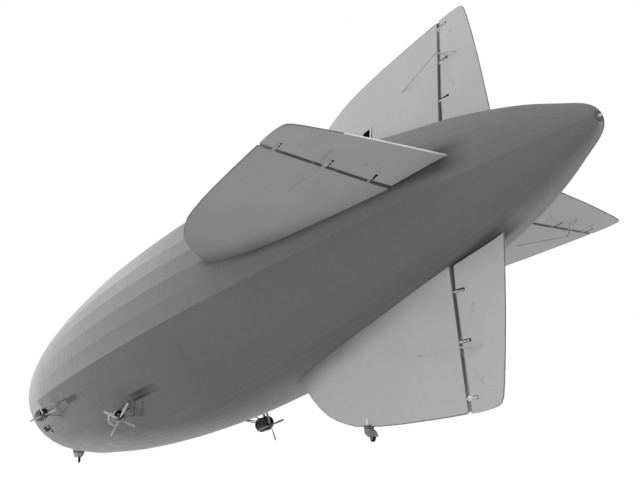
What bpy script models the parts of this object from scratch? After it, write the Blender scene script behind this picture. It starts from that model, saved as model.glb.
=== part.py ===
"""Rigid airship, built as a 1:10 scale model.

Metres, +X towards the nose, +Y to port, +Z up. A station is the distance from the tail
tip, so X = station - ORIGIN_STATION. The origin is the centre of lift on the hull's axis.
"""

import math

import bmesh
import bpy
import numpy as np
from mathutils import Matrix, Vector

# Driving sizes
LENGTH = 24.5
ORIGIN_STATION = 13.25
SIDES = 36
WALL = 0.010
GAP = 0.0003
PIN_GAP = 0.0003
COS12 = math.cos(math.pi / 12)
TAIL_JOINT = 0.25
NOSE_JOINT = 24.05

# Hull profile: station, radius
PROFILE = [
    (0.00, 0.000), (0.03, 0.088), (0.08, 0.141), (0.15, 0.185), (0.25, 0.235),
    (0.60, 0.406), (1.20, 0.625), (2.00, 0.835), (3.00, 1.099), (4.50, 1.412),
    (6.50, 1.690), (9.00, 1.898), (11.5, 2.020), (14.0, 2.059), (16.5, 2.034),
    (18.5, 1.946), (20.3, 1.791), (21.8, 1.485), (23.0, 1.174), (23.8, 0.833),
    (24.05, 0.676), (24.3, 0.455), (24.42, 0.285), (24.5, 0.000),
]
RINGS = [
    0.25, 0.60, 1.20, 2.00, 3.00, 4.00, 5.20, 6.60, 8.00, 9.80, 11.8, 14.0, 16.0, 17.6,
    19.0, 20.2, 21.2, 22.0, 22.7, 23.3, 23.7, 24.05,
]
INNER_RINGS = [0.25, 2.00, 5.20, 9.80, 14.0, 17.6, 20.2, 22.0, 23.3, 24.05]
TAIL_RINGS = [0.25, 0.15, 0.08, 0.04, 0.015]
NOSE_RINGS = [24.05, 24.20, 24.32, 24.41, 24.455]

# Fins: station and outer radius along the outline, from the rear spar to the root
FIN_OUTLINE = [
    (1.77, 2.132), (1.95, 2.140), (2.30, 2.150), (2.75, 2.158), (3.10, 2.155),
    (3.40, 2.142), (3.60, 2.125), (3.80, 2.085), (4.00, 2.035), (4.20, 1.965),
    (4.40, 1.860), (4.60, 1.725), (4.75, 1.600), (4.85, 1.470), (4.90, 1.400),
]
FIN_HALF_REAR = 0.097
FIN_HALF_MOST = 0.180
# Fin's name, turn about the axis in degrees, station of the rear spar, radii of the hinge arms
FINS = [
    ("dorsal", 0.0, 1.745, (1.08, 1.57, 2.03)),
    ("port", -90.0, 1.770, (1.00, 1.47, 1.985)),
    ("ventral", 180.0, 1.755, (1.02, 1.495, 2.00)),
    ("starboard", 90.0, 1.770, (1.00, 1.47, 1.985)),
]

# Control surfaces, hung behind the fins
HINGE_BACK = 0.120
FRONT_AHEAD = 0.077
NOSE_RADIUS = 0.112
ROOT_CLEAR = 0.020
POST_R = 0.008
ARM_HALF = 0.007
SLOT_HALF = 0.016
SLOT_BACK = 0.035
WEB_HALF = 0.004
WEB_DEEP = 0.018
TIP_DROP = 0.035
EDGE_HALF = 0.005
HORN_R = 1.575
HORN_OUT = 0.175
# Feet of a horn's legs: distance behind the hinge, radius beyond the horn's
HORN_FEET = [(0.160, -0.015), (0.055, 0.0)]
# Span fraction, station of the trailing edge
TRAILING = [
    (0.0, 1.110), (0.20, 1.145), (0.45, 1.190), (0.70, 1.245), (0.88, 1.292),
    (0.955, 1.318), (0.985, 1.345), (1.0, 1.390),
]
SURFACE_NAMES = {
    "dorsal": "rudder_upper",
    "ventral": "rudder_lower",
    "port": "elevator_port",
    "starboard": "elevator_starboard",
}

# Engine cars: name, hub station, hub y, hub z, first blade's angle, spread of the struts' feet
CARS = [
    ("aft_port", 8.80, 1.437, -1.727, 22.0, 1.0),
    ("aft_starboard", 8.80, -1.437, -1.727, -22.0, 1.0),
    ("forward_port", 13.60, 2.075, -1.327, -28.0, 0.8),
    ("forward_starboard", 13.60, -2.075, -1.327, 28.0, 0.8),
]
# Distance ahead of the propeller, radius of the car, height of its centre above the shaft
CAR_PROFILE = [
    (0.050, 0.079, 0.072), (0.095, 0.106, 0.060), (0.160, 0.125, 0.046), (0.270, 0.134, 0.036),
    (0.380, 0.130, 0.031), (0.480, 0.112, 0.030), (0.560, 0.080, 0.030), (0.600, 0.050, 0.030),
    (0.615, 0.022, 0.030),
]
CAR_INSIDE = [(0.050, 0.071), (0.095, 0.097), (0.160, 0.116), (0.270, 0.125), (0.400, 0.116), (0.530, 0.080)]
SHAFT_R = 0.012
# Exhaust pipe: distance ahead of the propeller, distance inboard, height above the shaft
EXHAUST = [(0.26, 0.000, 0.07), (0.24, 0.020, 0.18), (0.18, 0.070, 0.23)]
# Where the pipe meets the hull: distance ahead of the propeller, degrees above the shaft
EXHAUST_FOOT = (0.10, 2.8)
EXHAUST_R = 0.014
# Struts: car x, hull x, foot's angle above the shaft in degrees, radius
STRUTS = [
    (0.15, 0.10, 1.5, 0.008), (0.42, 0.45, 1.5, 0.008), (0.15, 0.26, -8.8, 0.008),
    (0.42, 0.58, -6.8, 0.008), (0.42, 1.10, 3.0, 0.005), (0.42, 1.10, -3.0, 0.005),
]
# Propeller blade: radius, chord, thickness, angle from the disc in degrees
BLADE = [
    (0.015, 0.022, 0.015, 62.0), (0.080, 0.032, 0.011, 46.0), (0.180, 0.037, 0.007, 30.0),
    (0.275, 0.032, 0.005, 21.0), (0.305, 0.016, 0.003, 19.0),
]

# Control car under the bow: station, half width at the top, half width at the floor, floor z
CAB = [
    (20.00, 0.138, 0.072, -2.050), (20.25, 0.141, 0.075, -2.050), (20.55, 0.139, 0.073, -2.050),
    (20.72, 0.126, 0.065, -2.040), (20.82, 0.102, 0.051, -2.015), (20.89, 0.067, 0.033, -1.975),
    (20.92, 0.034, 0.018, -1.950),
]
CAB_TOP = -1.600
CAB_WALL = 0.008
CAB_SILL = -1.920
CAB_HEAD = -1.850

# Promenade windows in the hull's side
DECK_FROM = 16.57
DECK_TO = 18.35
DECK_ANGLES = (-40.6, -47.0)
DECK_WINDOWS = 7

# Landing wheels
TYRE_R = 0.045
TYRE_HALF = 0.017
BOW_WHEEL = (20.09, -2.195)
TAIL_WHEEL = (3.267, -2.260)
TAIL_PIVOT = 3.335
BOW_PIVOT = 20.13
PIN_R = 0.010
BOW_COLLAR = -2.092
TAIL_COLLAR = -2.165
CHEEK = (0.0245, 0.033)
WELL_R = 0.0515
# Fork outlines seen from the side: station, z
BOW_FORK = [
    (20.162, -2.0935), (20.096, -2.0935), (20.060, -2.150), (20.066, -2.196), (20.078, -2.209),
    (20.102, -2.209), (20.116, -2.196), (20.152, -2.150),
]
TAIL_FORK = [
    (3.386, -2.1665), (3.288, -2.1665), (3.232, -2.210), (3.221, -2.248), (3.238, -2.262),
    (3.254, -2.275), (3.280, -2.275), (3.300, -2.262), (3.345, -2.236), (3.378, -2.205),
]
# The block and the rib that hold the tail wheel on the fin: half length, half width, top z
TAIL_BLOCK = (0.050, 0.033, -2.130)
TAIL_RIB = (0.011, 0.028, -2.060)
LAMP_R = 0.0425
# Access opening in the dorsal fin's port side: station, z
DOORWAY = [(3.064, 1.326), (3.050, 1.273), (2.917, 1.189), (2.936, 1.334)]
DOOR_FACE = 0.148
DOOR_DEPTH = 0.060


def clear_scene():
    for obj in list(bpy.data.objects):
        bpy.data.objects.remove(obj, do_unlink=True)


def paint(name, colour, roughness, metallic=0.0):
    """A material with the piece's own colour."""
    mat = bpy.data.materials.new(name)
    mat.use_nodes = True
    shader = mat.node_tree.nodes["Principled BSDF"]
    shader.inputs["Base Color"].default_value = (*colour, 1.0)
    shader.inputs["Roughness"].default_value = roughness
    shader.inputs["Metallic"].default_value = metallic
    mat.diffuse_color = (*colour, 1.0)
    return mat


def x_of(station):
    return station - ORIGIN_STATION


def radius_at(station):
    """Hull radius from a monotone cubic through PROFILE."""
    s = np.array([row[0] for row in PROFILE])
    r = np.array([row[1] for row in PROFILE])
    step = np.diff(s)
    slope = np.diff(r) / step
    tangent = np.zeros(len(s))
    for i in range(1, len(s) - 1):
        if slope[i - 1] * slope[i] > 0:
            w1 = 2 * step[i] + step[i - 1]
            w2 = step[i] + 2 * step[i - 1]
            tangent[i] = (w1 + w2) / (w1 / slope[i - 1] + w2 / slope[i])
    tangent[0] = slope[0]
    tangent[-1] = slope[-1]
    i = int(np.clip(np.searchsorted(s, station) - 1, 0, len(s) - 2))
    t = (station - s[i]) / step[i]
    rise = (1 + 2 * t) * (1 - t) ** 2 * r[i] + t * (1 - t) ** 2 * step[i] * tangent[i]
    return float(rise + t * t * (3 - 2 * t) * r[i + 1] + t * t * (t - 1) * step[i] * tangent[i + 1])


def skin_radius(station):
    """Radius of the flat-panelled skin, which runs straight between its rings."""
    rings = TAIL_RINGS[::-1] + RINGS[1:] + NOSE_RINGS[1:]
    return float(np.interp(station, rings, [radius_at(s) for s in rings]))


def facet_radius(station, degrees, offset=0.0):
    """Distance from the axis to the flat panel at an angle."""
    panel = 360.0 / SIDES
    inside = (degrees % panel) - panel / 2
    flat = math.cos(math.radians(panel / 2)) / math.cos(math.radians(inside))
    return skin_radius(station) * flat + offset


def on_hull(station, degrees, offset=0.0):
    """A point on the skin; 0 degrees is port and 90 degrees is up."""
    r = facet_radius(station, degrees, offset)
    a = math.radians(degrees)
    return Vector((x_of(station), r * math.cos(a), r * math.sin(a)))


def add_object(name, mesh, mat, smooth):
    obj = bpy.data.objects.new(name, mesh)
    bpy.context.collection.objects.link(obj)
    mesh.materials.append(mat)
    for polygon in mesh.polygons:
        polygon.use_smooth = smooth
    return obj


def cap_strips(bm, row):
    """Closes a ring that is the same on both sides with strips from side to side."""
    last = len(row) - 1
    for i in range(len(row) // 2 - 1):
        bm.faces.new((row[i], row[i + 1], row[last - i - 1]))
        bm.faces.new((row[i], row[last - i - 1], row[last - i]))


def solid(name, rings, mat, smooth=False, looped=False, split=False, strips=False):
    """A closed body through rings of points, capped at both ends unless it is looped."""
    bm = bmesh.new()
    rows = [[bm.verts.new(point) for point in ring] for ring in rings]
    count = len(rows[0])
    pairs = list(zip(rows[:-1], rows[1:]))
    if looped:
        pairs.append((rows[-1], rows[0]))
    elif strips:
        cap_strips(bm, rows[0])
        cap_strips(bm, rows[-1])
    else:
        bm.faces.new(rows[0])
        bm.faces.new(rows[-1])
    for first, second in pairs:
        for i in range(count):
            j = (i + 1) % count
            if split:
                bm.faces.new((first[i], first[j], second[j]))
                bm.faces.new((first[i], second[j], second[i]))
            else:
                bm.faces.new((first[i], first[j], second[j], second[i]))
    bmesh.ops.recalc_face_normals(bm, faces=bm.faces)
    mesh = bpy.data.meshes.new(name)
    bm.to_mesh(mesh)
    bm.free()
    return add_object(name, mesh, mat, smooth)


def box(name, low, high, mat):
    """A box between two corners."""
    corners = [(low[0], low[1]), (high[0], low[1]), (high[0], high[1]), (low[0], high[1])]
    return solid(name, [[(x, y, z) for x, y in corners] for z in (low[2], high[2])], mat)


def circle(centre, axis, radius, sides, phase=0.0):
    """Points round a centre, in the plane across an axis."""
    turn = Vector((0, 0, 1)).rotation_difference(Vector(axis).normalized())
    points = []
    for i in range(sides):
        a = phase + 2 * math.pi * i / sides
        flat = Vector((radius * math.cos(a), radius * math.sin(a), 0))
        points.append(Vector(centre) + turn @ flat)
    return points


def rod(name, start, end, radius, mat, sides=8, end_radius=None):
    """A straight round bar, tapered if it has an end radius."""
    axis = Vector(end) - Vector(start)
    last = radius if end_radius is None else end_radius
    rings = [circle(start, axis, radius, sides), circle(end, axis, last, sides)]
    return solid(name, rings, mat, smooth=sides > 8)


def turned(name, centre, axis, profile, mat, sides=20):
    """A body turned about an axis: profile rows are distance along it and radius."""
    way = Vector(axis).normalized()
    rings = [circle(Vector(centre) + way * along, way, r, sides) for along, r in profile]
    return solid(name, rings, mat, smooth=True)


def boolean(obj, other, operation):
    """Adds a Boolean with another object, which is then hidden from the build."""
    other.hide_render = True
    other.display_type = "WIRE"
    modifier = obj.modifiers.new(operation.lower() + "_" + other.name, "BOOLEAN")
    modifier.operation = operation
    modifier.solver = "EXACT"
    modifier.object = other


def cut(obj, *cutters):
    for cutter in cutters:
        boolean(obj, cutter, "DIFFERENCE")


def join(obj, *others):
    for other in others:
        boolean(obj, other, "UNION")


def set_origin(obj, point):
    """Moves the object's origin to a point and leaves its mesh where it is."""
    obj.data.transform(Matrix.Translation(-Vector(point)))
    obj.location = point


def hull_ring(station, offset=0.0):
    radius = skin_radius(station) + offset
    step = 2 * math.pi / SIDES
    return [
        (x_of(station), radius * math.cos(i * step), radius * math.sin(i * step))
        for i in range(SIDES)
    ]


def inner_ring(station):
    """The skin's inside, set in square to the profile."""
    rise = (radius_at(station + 0.02) - radius_at(station - 0.02)) / 0.04
    long = math.hypot(1.0, rise)
    inward = min(rise, 2.0) / long * WALL
    ring = hull_ring(station, -WALL / long)
    return [(x + inward, y, z) for x, y, z in ring]


def hull_solid(name, offset, mat):
    """The hull as a full body, used to shape what stands against it."""
    stations = TAIL_RINGS[::-1] + RINGS[1:] + NOSE_RINGS[1:]
    return solid(name, [hull_ring(s, offset) for s in stations], mat)


def skin_patch(name, stations, angles, low, high, mat):
    """A plate that follows the skin between two stations and two angles."""
    inner = [s for s in RINGS if stations[0] < s < stations[1]]
    edges = [a for a in range(-180, 181, 10) if angles[0] < a < angles[1]]
    turns = [angles[0], *edges, angles[1]]
    rings = []
    for s in [stations[0], *inner, stations[1]]:
        outer = [on_hull(s, a, high) for a in turns]
        lower = [on_hull(s, a, low) for a in reversed(turns)]
        rings.append(outer + lower)
    return solid(name, rings, mat)


def fin_outer(station):
    return float(np.interp(station, *zip(*FIN_OUTLINE)))


def fin_root_half(station):
    """Half thickness at the fin's root."""
    x = min((FIN_OUTLINE[-1][0] - station) / (FIN_OUTLINE[-1][0] - FIN_OUTLINE[0][0]), 1.0)
    if x < 0.5:
        return FIN_HALF_MOST * math.sqrt(max(1 - ((0.5 - x) / 0.5) ** 2, 0.0)) + 0.004
    return FIN_HALF_MOST - (FIN_HALF_MOST - FIN_HALF_REAR) * ((x - 0.5) / 0.5) ** 1.5


def fin_half(station, radius):
    """Half thickness of the fin at a radius."""
    base = min(skin_radius(station), fin_outer(station) - 0.02)
    x = (fin_outer(station) - radius) / (fin_outer(station) - base)
    x = min(max(x, 0.0), 1.0)
    return fin_root_half(station) * (0.9 * x + 0.1 * math.sqrt(x)) + 0.002


def turn_x(obj, degrees):
    obj.data.transform(Matrix.Rotation(math.radians(degrees), 4, "X"))


def web_spans(rear, arms):
    """The stretches of the rear spar's web, which stops short of each hinge arm."""
    starts = [skin_radius(rear) + 0.04] + [r + 0.030 for r in arms]
    ends = [r - 0.030 for r in arms] + [fin_outer(rear) - 0.015]
    return list(zip(starts, ends))


def build_fin(name, degrees, rear, arms, hull_cutter, mat):
    """A fixed fin, thick at the root and thin at its edge."""
    rings = []
    for station in [rear] + [row[0] for row in FIN_OUTLINE[1:-1]]:
        outer = fin_outer(station)
        base = skin_radius(station) - 0.05
        spans = [0.0, 0.25, 0.5, 0.75, 0.92, 0.985, 1.0]
        radii = [base + (outer - base) * v for v in spans]
        side = [(fin_half(station, r), r) for r in radii]
        other = [(-y, r) for y, r in reversed(side)]
        rings.append([(x_of(station), y, r) for y, r in side + other])
    fin = solid("fin_" + name, rings, mat)
    back = x_of(rear) - WEB_DEEP
    webs = []
    for low, high in web_spans(rear, arms):
        corner = (x_of(rear) + 0.02, WEB_HALF, high)
        webs.append(box(f"{name}_web_{low:.1f}", (back, -WEB_HALF, low), corner, mat))
    join(fin, *webs)
    for piece in [fin, *webs]:
        turn_x(piece, degrees)
    cut(fin, hull_cutter)
    return fin


def surface_half(station, radius, trailing, rear):
    """Half thickness of a control surface: a rounded nose, then a straight taper."""
    x = (station - trailing) / (rear - trailing)
    half = fin_half(rear, radius) * min(x, 1.0) + EDGE_HALF
    ahead = station - (rear - HINGE_BACK)
    if ahead > 0:
        half = min(half, math.sqrt(max(NOSE_RADIUS**2 - ahead**2, 0.0)))
    return half


def surface_ring(span, trailing, rear):
    """A control surface's section at a fraction of its span."""
    front = rear - HINGE_BACK + FRONT_AHEAD
    side = []
    for c in [0.0, 0.04, 0.10, 0.17, 0.30, 0.5, 0.75, 1.0]:
        station = front - c * (front - trailing)
        root = skin_radius(station) + ROOT_CLEAR
        radius = root + span * (fin_outer(rear) - TIP_DROP * c * c - root)
        side.append((x_of(station), surface_half(station, radius, trailing, rear), radius))
    return side + [(x, -y, r) for x, y, r in reversed(side)]


def build_horns(name, x, mat):
    """The two legs of each control horn and the knob at their tip, on both sides."""
    legs = []
    for side in (1, -1):
        tip = (x, side * HORN_OUT, HORN_R)
        for i, (behind, beyond) in enumerate(HORN_FEET):
            foot = (x - behind, side * 0.030, HORN_R + beyond)
            legs.append(rod(f"{name}_horn_{side}_{i}", foot, tip, 0.006, mat, 6))
        ends = [(x, side * HORN_OUT, HORN_R + v) for v in (-0.012, 0.012)]
        legs.append(rod(f"{name}_knob_{side}", *ends, 0.0105, mat, 8))
    return legs


def build_surface(name, degrees, rear, arms, mat):
    """A rudder or an elevator, with its horns, its bore and its hinge slots."""
    rings = [surface_ring(v, t, rear) for v, t in TRAILING]
    obj = solid(name, rings, mat, split=True, strips=True)
    x = x_of(rear) - HINGE_BACK
    horns = build_horns(name, x, mat)
    join(obj, *horns)
    top = arms[-1] + 0.026
    cutters = [rod(name + "_bore", (x, 0, 0.6), (x, 0, top), POST_R / COS12 + PIN_GAP, mat, 12)]
    for r in arms:
        wide = fin_half(rear, r) + EDGE_HALF + 0.006
        low = (x - SLOT_BACK, -wide, r - SLOT_HALF)
        cutters.append(box(f"{name}_slot_{r}", low, (x + 0.15, wide, r + SLOT_HALF), mat))
    cut(obj, *cutters)
    for piece in [obj, *horns, *cutters]:
        turn_x(piece, degrees)
    set_origin(obj, (x, 0, 0))
    return obj


def build_post(name, degrees, rear, arms, mat):
    """The hinge post, with the arms that carry it from the fin's rear spar."""
    x = x_of(rear) - HINGE_BACK
    obj = rod(name, (x, 0, 0.88), (x, 0, arms[-1] + 0.022), POST_R, mat, 12)
    pieces = []
    back = x_of(rear) - GAP
    for r in arms:
        half = 0.009 if r > 1.9 else 0.030
        low = (x, -0.0068, r - ARM_HALF)
        pieces.append(box(f"{name}_arm_{r}", low, (back - 0.002, 0.0068, r + ARM_HALF), mat))
        ends = ((x, 0, r - 0.010), (x, 0, r + 0.010))
        pieces.append(rod(f"{name}_eye_{r}", *ends, 0.014, mat, 12))
        low = (back - 0.008, -half, r - 0.014)
        pieces.append(box(f"{name}_foot_{r}", low, (back, half, r + 0.014), mat))
    join(obj, *pieces)
    for piece in [obj, *pieces]:
        turn_x(piece, degrees)
    return obj


def build_doorway(mat):
    """The cutter for the access opening in the dorsal fin's port side."""
    rings = []
    for deep in (0.0, 0.2):
        rings.append([(x_of(s), DOOR_FACE - DOOR_DEPTH + deep, z) for s, z in DOORWAY])
    return solid("doorway", rings, mat)


def car_row(x):
    """The car's radius and centre height at a distance ahead of the propeller."""
    ahead, radius, rise = zip(*CAR_PROFILE)
    return float(np.interp(x, ahead, radius)), float(np.interp(x, ahead, rise))


def car_rings(hub, rows, sides=16):
    rings = []
    for x, radius in rows:
        centre = Vector(hub) + Vector((x, 0, car_row(x)[1]))
        rings.append(circle(centre, (1, 0, 0), radius, sides))
    return rings


def car_outside(offset=0.0):
    return [(x, radius + offset) for x, radius, _ in CAR_PROFILE]


def tube(name, points, radius, mat, sides=10):
    """A round pipe along a line of points."""
    rings = []
    for i, point in enumerate(points):
        way = points[min(i + 1, len(points) - 1)] - points[max(i - 1, 0)]
        rings.append(circle(point, way, radius, sides))
    return solid(name, rings, mat, smooth=True)


def exhaust(name, hub, radius, mat):
    """The pipe from the engine, up through the car's top and inboard to the hull."""
    side = 1 if hub[1] > 0 else -1
    points = [Vector(hub) + Vector((x, -side * inboard, up)) for x, inboard, up in EXHAUST]
    ahead, above = EXHAUST_FOOT
    angle = math.degrees(math.atan2(hub[2], hub[1])) + side * above
    points.append(on_hull(hub[0] + ORIGIN_STATION + ahead, angle))
    return tube(name, points, radius, mat)


def build_car(name, hub, mat):
    """An engine car: an egg-shaped shell, open at the rear."""
    car = solid(name, car_rings(hub, CAR_INSIDE[::-1] + car_outside()), mat, smooth=True)
    ends = [Vector(hub) + Vector((x, 0, 0)) for x in (0.0, 0.12)]
    shaft_hole = rod(name + "_shaft_hole", *ends, SHAFT_R / COS12 + GAP * 2, mat, 12)
    cut(car, shaft_hole, exhaust(name + "_pipe_hole", hub, EXHAUST_R / COS12 + GAP, mat))
    return car


def build_engine(name, hub, hull_cutter, mat):
    """The engine as one block on bearers, with its shaft and its exhaust pipe."""
    centre = Vector(hub) + Vector((0.30, 0, 0.03))
    size = Vector((0.12, 0.055, 0.065))
    block = box(name, centre - size, centre + size, mat)
    rows = [(x, r - GAP * 2) for x, r in CAR_INSIDE]
    for part in (0.22, 0.38):
        low = Vector(hub) + Vector((part - 0.012, -0.2, 0.01))
        beam = box(f"{name}_bearer_{part}", low, low + Vector((0.024, 0.4, 0.02)), mat)
        inside = solid(f"{name}_trim_{part}", car_rings(hub, rows), mat)
        boolean(beam, inside, "INTERSECT")
        join(block, beam)
    stub = Vector(hub) + Vector((-0.028, 0, 0))
    ahead = Vector(hub) + Vector((0.2, 0, 0))
    shaft = rod(name + "_shaft", stub, ahead, SHAFT_R, mat, 12)
    behind = Vector(hub) + Vector((0.10, 0, 0))
    case = rod(name + "_case", behind, ahead, 0.024, mat, 12, 0.045)
    join(block, shaft, case, exhaust(name + "_exhaust", hub, EXHAUST_R, mat))
    cut(block, hull_cutter)
    return block


def blade_section(radius, chord, thick, degrees):
    """One blade section, as six points round a lens."""
    a = math.radians(degrees)
    along = Vector((math.sin(a), math.cos(a), 0))
    across = Vector((math.cos(a), -math.sin(a), 0))
    shape = [(-0.5, 0.0), (-0.2, 0.5), (0.25, 0.4), (0.5, 0.0), (0.25, -0.25), (-0.2, -0.3)]
    return [along * u * chord + across * v * thick + Vector((0, 0, radius)) for u, v in shape]


def build_propeller(name, hub, phase, mat):
    """A four-bladed propeller with its boss and spinner."""
    rows = [(-0.055, 0.008), (-0.042, 0.021), (-0.010, 0.030), (0.024, 0.028)]
    obj = turned(name, (0, 0, 0), (1, 0, 0), rows, mat, 14)
    blades = []
    for i in range(4):
        blade = solid(f"{name}_blade_{i}", [blade_section(*row) for row in BLADE], mat)
        turn_x(blade, phase - 90 + 90 * i)
        blades.append(blade)
    join(obj, *blades)
    bore = rod(name + "_bore", (-0.030, 0, 0), (0.1, 0, 0), SHAFT_R / COS12 + PIN_GAP, mat, 12)
    cut(obj, bore)
    for piece in [obj, *blades, bore]:
        piece.location = hub
    return obj


def strut_ends(hub, row, spread):
    """Where a strut leaves the car, and its foot on the hull."""
    x, hull_x, offset, _ = row
    side = 1 if hub[1] > 0 else -1
    station = hub[0] + ORIGIN_STATION + hull_x
    angle = math.degrees(math.atan2(hub[2], hub[1])) + side * offset * spread
    foot = on_hull(station, angle, -0.003)
    radius, rise = car_row(x)
    start = Vector(hub) + Vector((x, 0, rise))
    way = (foot - start) * Vector((0, 1, 1))
    return start + way.normalized() * (radius + 0.006), foot, station, angle


def build_struts(name, hub, spread, hull_cutter, mat):
    """The rings round a car and the struts that hold it off the hull."""
    car = solid(name + "_car", car_rings(hub, car_outside(GAP)), mat)
    rows = [(0.140, 0.134), (0.160, 0.136)]
    obj = solid(name, car_rings(hub, rows), mat, smooth=True)
    pieces = [solid(name + "_front", car_rings(hub, [(0.410, 0.139), (0.430, 0.137)]), mat)]
    ends = [strut_ends(hub, row, spread) for row in STRUTS]
    pieces.append(rod(name + "_tie", ends[0][0], ends[1][0], 0.010, mat, 6))
    for i, (start, foot, station, angle) in enumerate(ends):
        pieces.append(rod(f"{name}_strut_{i}", start, foot, STRUTS[i][3], mat, 6))
        span = (station - 0.03, station + 0.03)
        wide = (angle - 0.8, angle + 0.8)
        pieces.append(skin_patch(f"{name}_foot_{i}", span, wide, -0.01, 0.008, mat))
    join(obj, *pieces)
    cut(obj, hull_cutter, car)
    return obj


def cab_ring(row, inset, top):
    """A section of the control car, set in by a wall's thickness."""
    station, wide, narrow, floor = row
    wide = max(wide - inset, 0.008)
    narrow = max(narrow - inset, 0.006)
    floor = floor + inset
    slope = (wide - narrow) / (-1.85 - floor)
    head = narrow + slope * (top - floor)
    round_off = min(0.012, 0.5 * narrow)
    half = [(head, top), (narrow + round_off * slope, floor + round_off), (narrow - round_off, floor)]
    left = [(x_of(station), y, z) for y, z in half]
    right = [(x, -y, z) for x, y, z in reversed(left)]
    return left + right


def cab_solid(name, inset, top, mat):
    rows = [list(row) for row in CAB]
    rows[0][0] += inset
    rows[-1][0] -= inset
    return solid(name, [cab_ring(row, inset, top) for row in rows], mat, split=True)


def cab_windows():
    """The corners of each window cutter of the control car."""
    boxes = []
    for i in range(7):
        s = CAB[0][0] + 0.065 + 0.098 * i
        boxes.append(((x_of(s), -0.3, CAB_SILL), (x_of(s + 0.078), 0.3, CAB_HEAD)))
    for y in (-0.096, -0.029, 0.038):
        boxes.append(((x_of(19.85), y, CAB_SILL), (x_of(20.05), y + 0.058, CAB_HEAD)))
    boxes.append(((x_of(20.78), -0.048, -1.912), (x_of(21.05), -0.006, CAB_HEAD)))
    boxes.append(((x_of(20.78), 0.006, -1.912), (x_of(21.05), 0.048, CAB_HEAD)))
    return boxes


def build_control_car(hull_cutter, shell_mat, glass_mat):
    """The control car: a hollow shell with windows, open to the hull above."""
    car = cab_solid("control_car", 0.0, CAB_TOP, shell_mat)
    inside = cab_solid("control_car_inside", CAB_WALL, CAB_TOP + 0.1, shell_mat)
    cut(car, inside, hull_cutter)
    for i, (low, high) in enumerate(cab_windows()):
        cut(car, box(f"control_car_window_{i}", low, high, shell_mat))
    glass = cab_solid("control_car_glazing", CAB_WALL + 0.0020, CAB_TOP, glass_mat)
    hollow = cab_solid("glazing_inside", CAB_WALL + 0.0045, CAB_TOP + 0.1, glass_mat)
    band = box("glazing_band", (x_of(19.8), -0.3, -1.930), (x_of(21.2), 0.3, -1.840), glass_mat)
    boolean(glass, band, "INTERSECT")
    cut(glass, hollow)
    return car, glass


def build_deck(side, hull, frame_mat, glass_mat):
    """A promenade window frame with its glazing, let into the hull's side."""
    name = "port" if side > 0 else "starboard"
    low, high = sorted(a if side > 0 else -180 - a for a in DECK_ANGLES)
    trim = 0.008
    hole = skin_patch(name + "_deck_hole", (DECK_FROM, DECK_TO), (low, high), -0.05, 0.05, frame_mat)
    cut(hull, hole)
    ends = (DECK_FROM + GAP, DECK_TO - GAP)
    frame = skin_patch(f"promenade_frame_{name}", ends, (low + trim, high - trim), -0.009, 0.004, frame_mat)
    middle = (low + high) / 2
    pitch = (DECK_TO - DECK_FROM - 0.04) / DECK_WINDOWS
    for i in range(DECK_WINDOWS):
        start = DECK_FROM + 0.04 + pitch * i
        for a, b in ((low + 0.5, middle - 0.25), (middle + 0.25, high - 0.5)):
            span = (start, start + pitch - 0.04)
            cut(frame, skin_patch(f"{name}_pane_{i}_{a:.0f}", span, (a, b), -0.05, 0.05, frame_mat))
    glass = skin_patch(
        f"promenade_glazing_{name}", ends, (low + 0.2, high - 0.2), -0.0135, -0.0093, glass_mat
    )
    return frame, glass


def build_wheel(name, station, z, tyre_mat, hub_mat):
    """A tyre on its hub, centred on its axle."""
    centre = (x_of(station), 0, z)
    w = TYRE_HALF
    rows = [(-w, 0.036), (-0.6 * w, 0.043), (0.0, TYRE_R), (0.6 * w, 0.043), (w, 0.036)]
    rings = [circle(Vector(centre) + Vector((0, y, 0)), (0, 1, 0), r, 20) for y, r in rows]
    inner = [circle(Vector(centre) + Vector((0, y, 0)), (0, 1, 0), 0.0262, 20) for y in (w, -w)]
    tyre = solid(name + "_tyre", rings + inner, tyre_mat, smooth=True, looped=True)
    disc = [(-w - 0.002, 0.010), (-w - 0.001, 0.024), (-0.5 * w, 0.0258), (0.5 * w, 0.0258),
            (w + 0.001, 0.024), (w + 0.002, 0.010)]
    hub = turned(name + "_hub", centre, (0, 1, 0), disc, hub_mat, 20)
    bore = rod(name + "_bore", (centre[0], -0.1, z), (centre[0], 0.1, z), 0.0050, hub_mat, 12)
    cut(hub, bore)
    for obj in (tyre, hub):
        set_origin(obj, centre)
    return tyre, hub


def prism(name, outline, y_from, y_to, mat):
    """An outline of stations and heights, carried across the ship."""
    return solid(name, [[(x_of(s), y, z) for s, z in outline] for y in (y_from, y_to)], mat)


def build_fork(name, outline, pivot, wheel, mat):
    """A swivelling fork with closed cheeks, a well for the wheel and the axle."""
    px = x_of(pivot)
    wx = x_of(wheel[0])
    top = outline[0][1]
    obj = prism(name, outline, -CHEEK[1], CHEEK[1], mat)
    well = rod(name + "_well", (wx, -CHEEK[0], wheel[1]), (wx, CHEEK[0], wheel[1]), WELL_R, mat, 24)
    bore = rod(name + "_bore", (px, 0, top - 0.031), (px, 0, top + 0.1), PIN_R + PIN_GAP * 2, mat, 20)
    cut(obj, well, bore)
    axle = rod(name + "_axle", (wx, -0.03, wheel[1]), (wx, 0.03, wheel[1]), 0.0045, mat, 12)
    join(obj, axle)
    set_origin(obj, (px, 0, wheel[1]))
    return obj


def pin(name, pivot, collar, mat):
    """The pin under a leg, which its fork turns on."""
    px = x_of(pivot)
    return rod(name, (px, 0, collar - 0.028), (px, 0, collar + 0.01), PIN_R, mat, 20)


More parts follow.
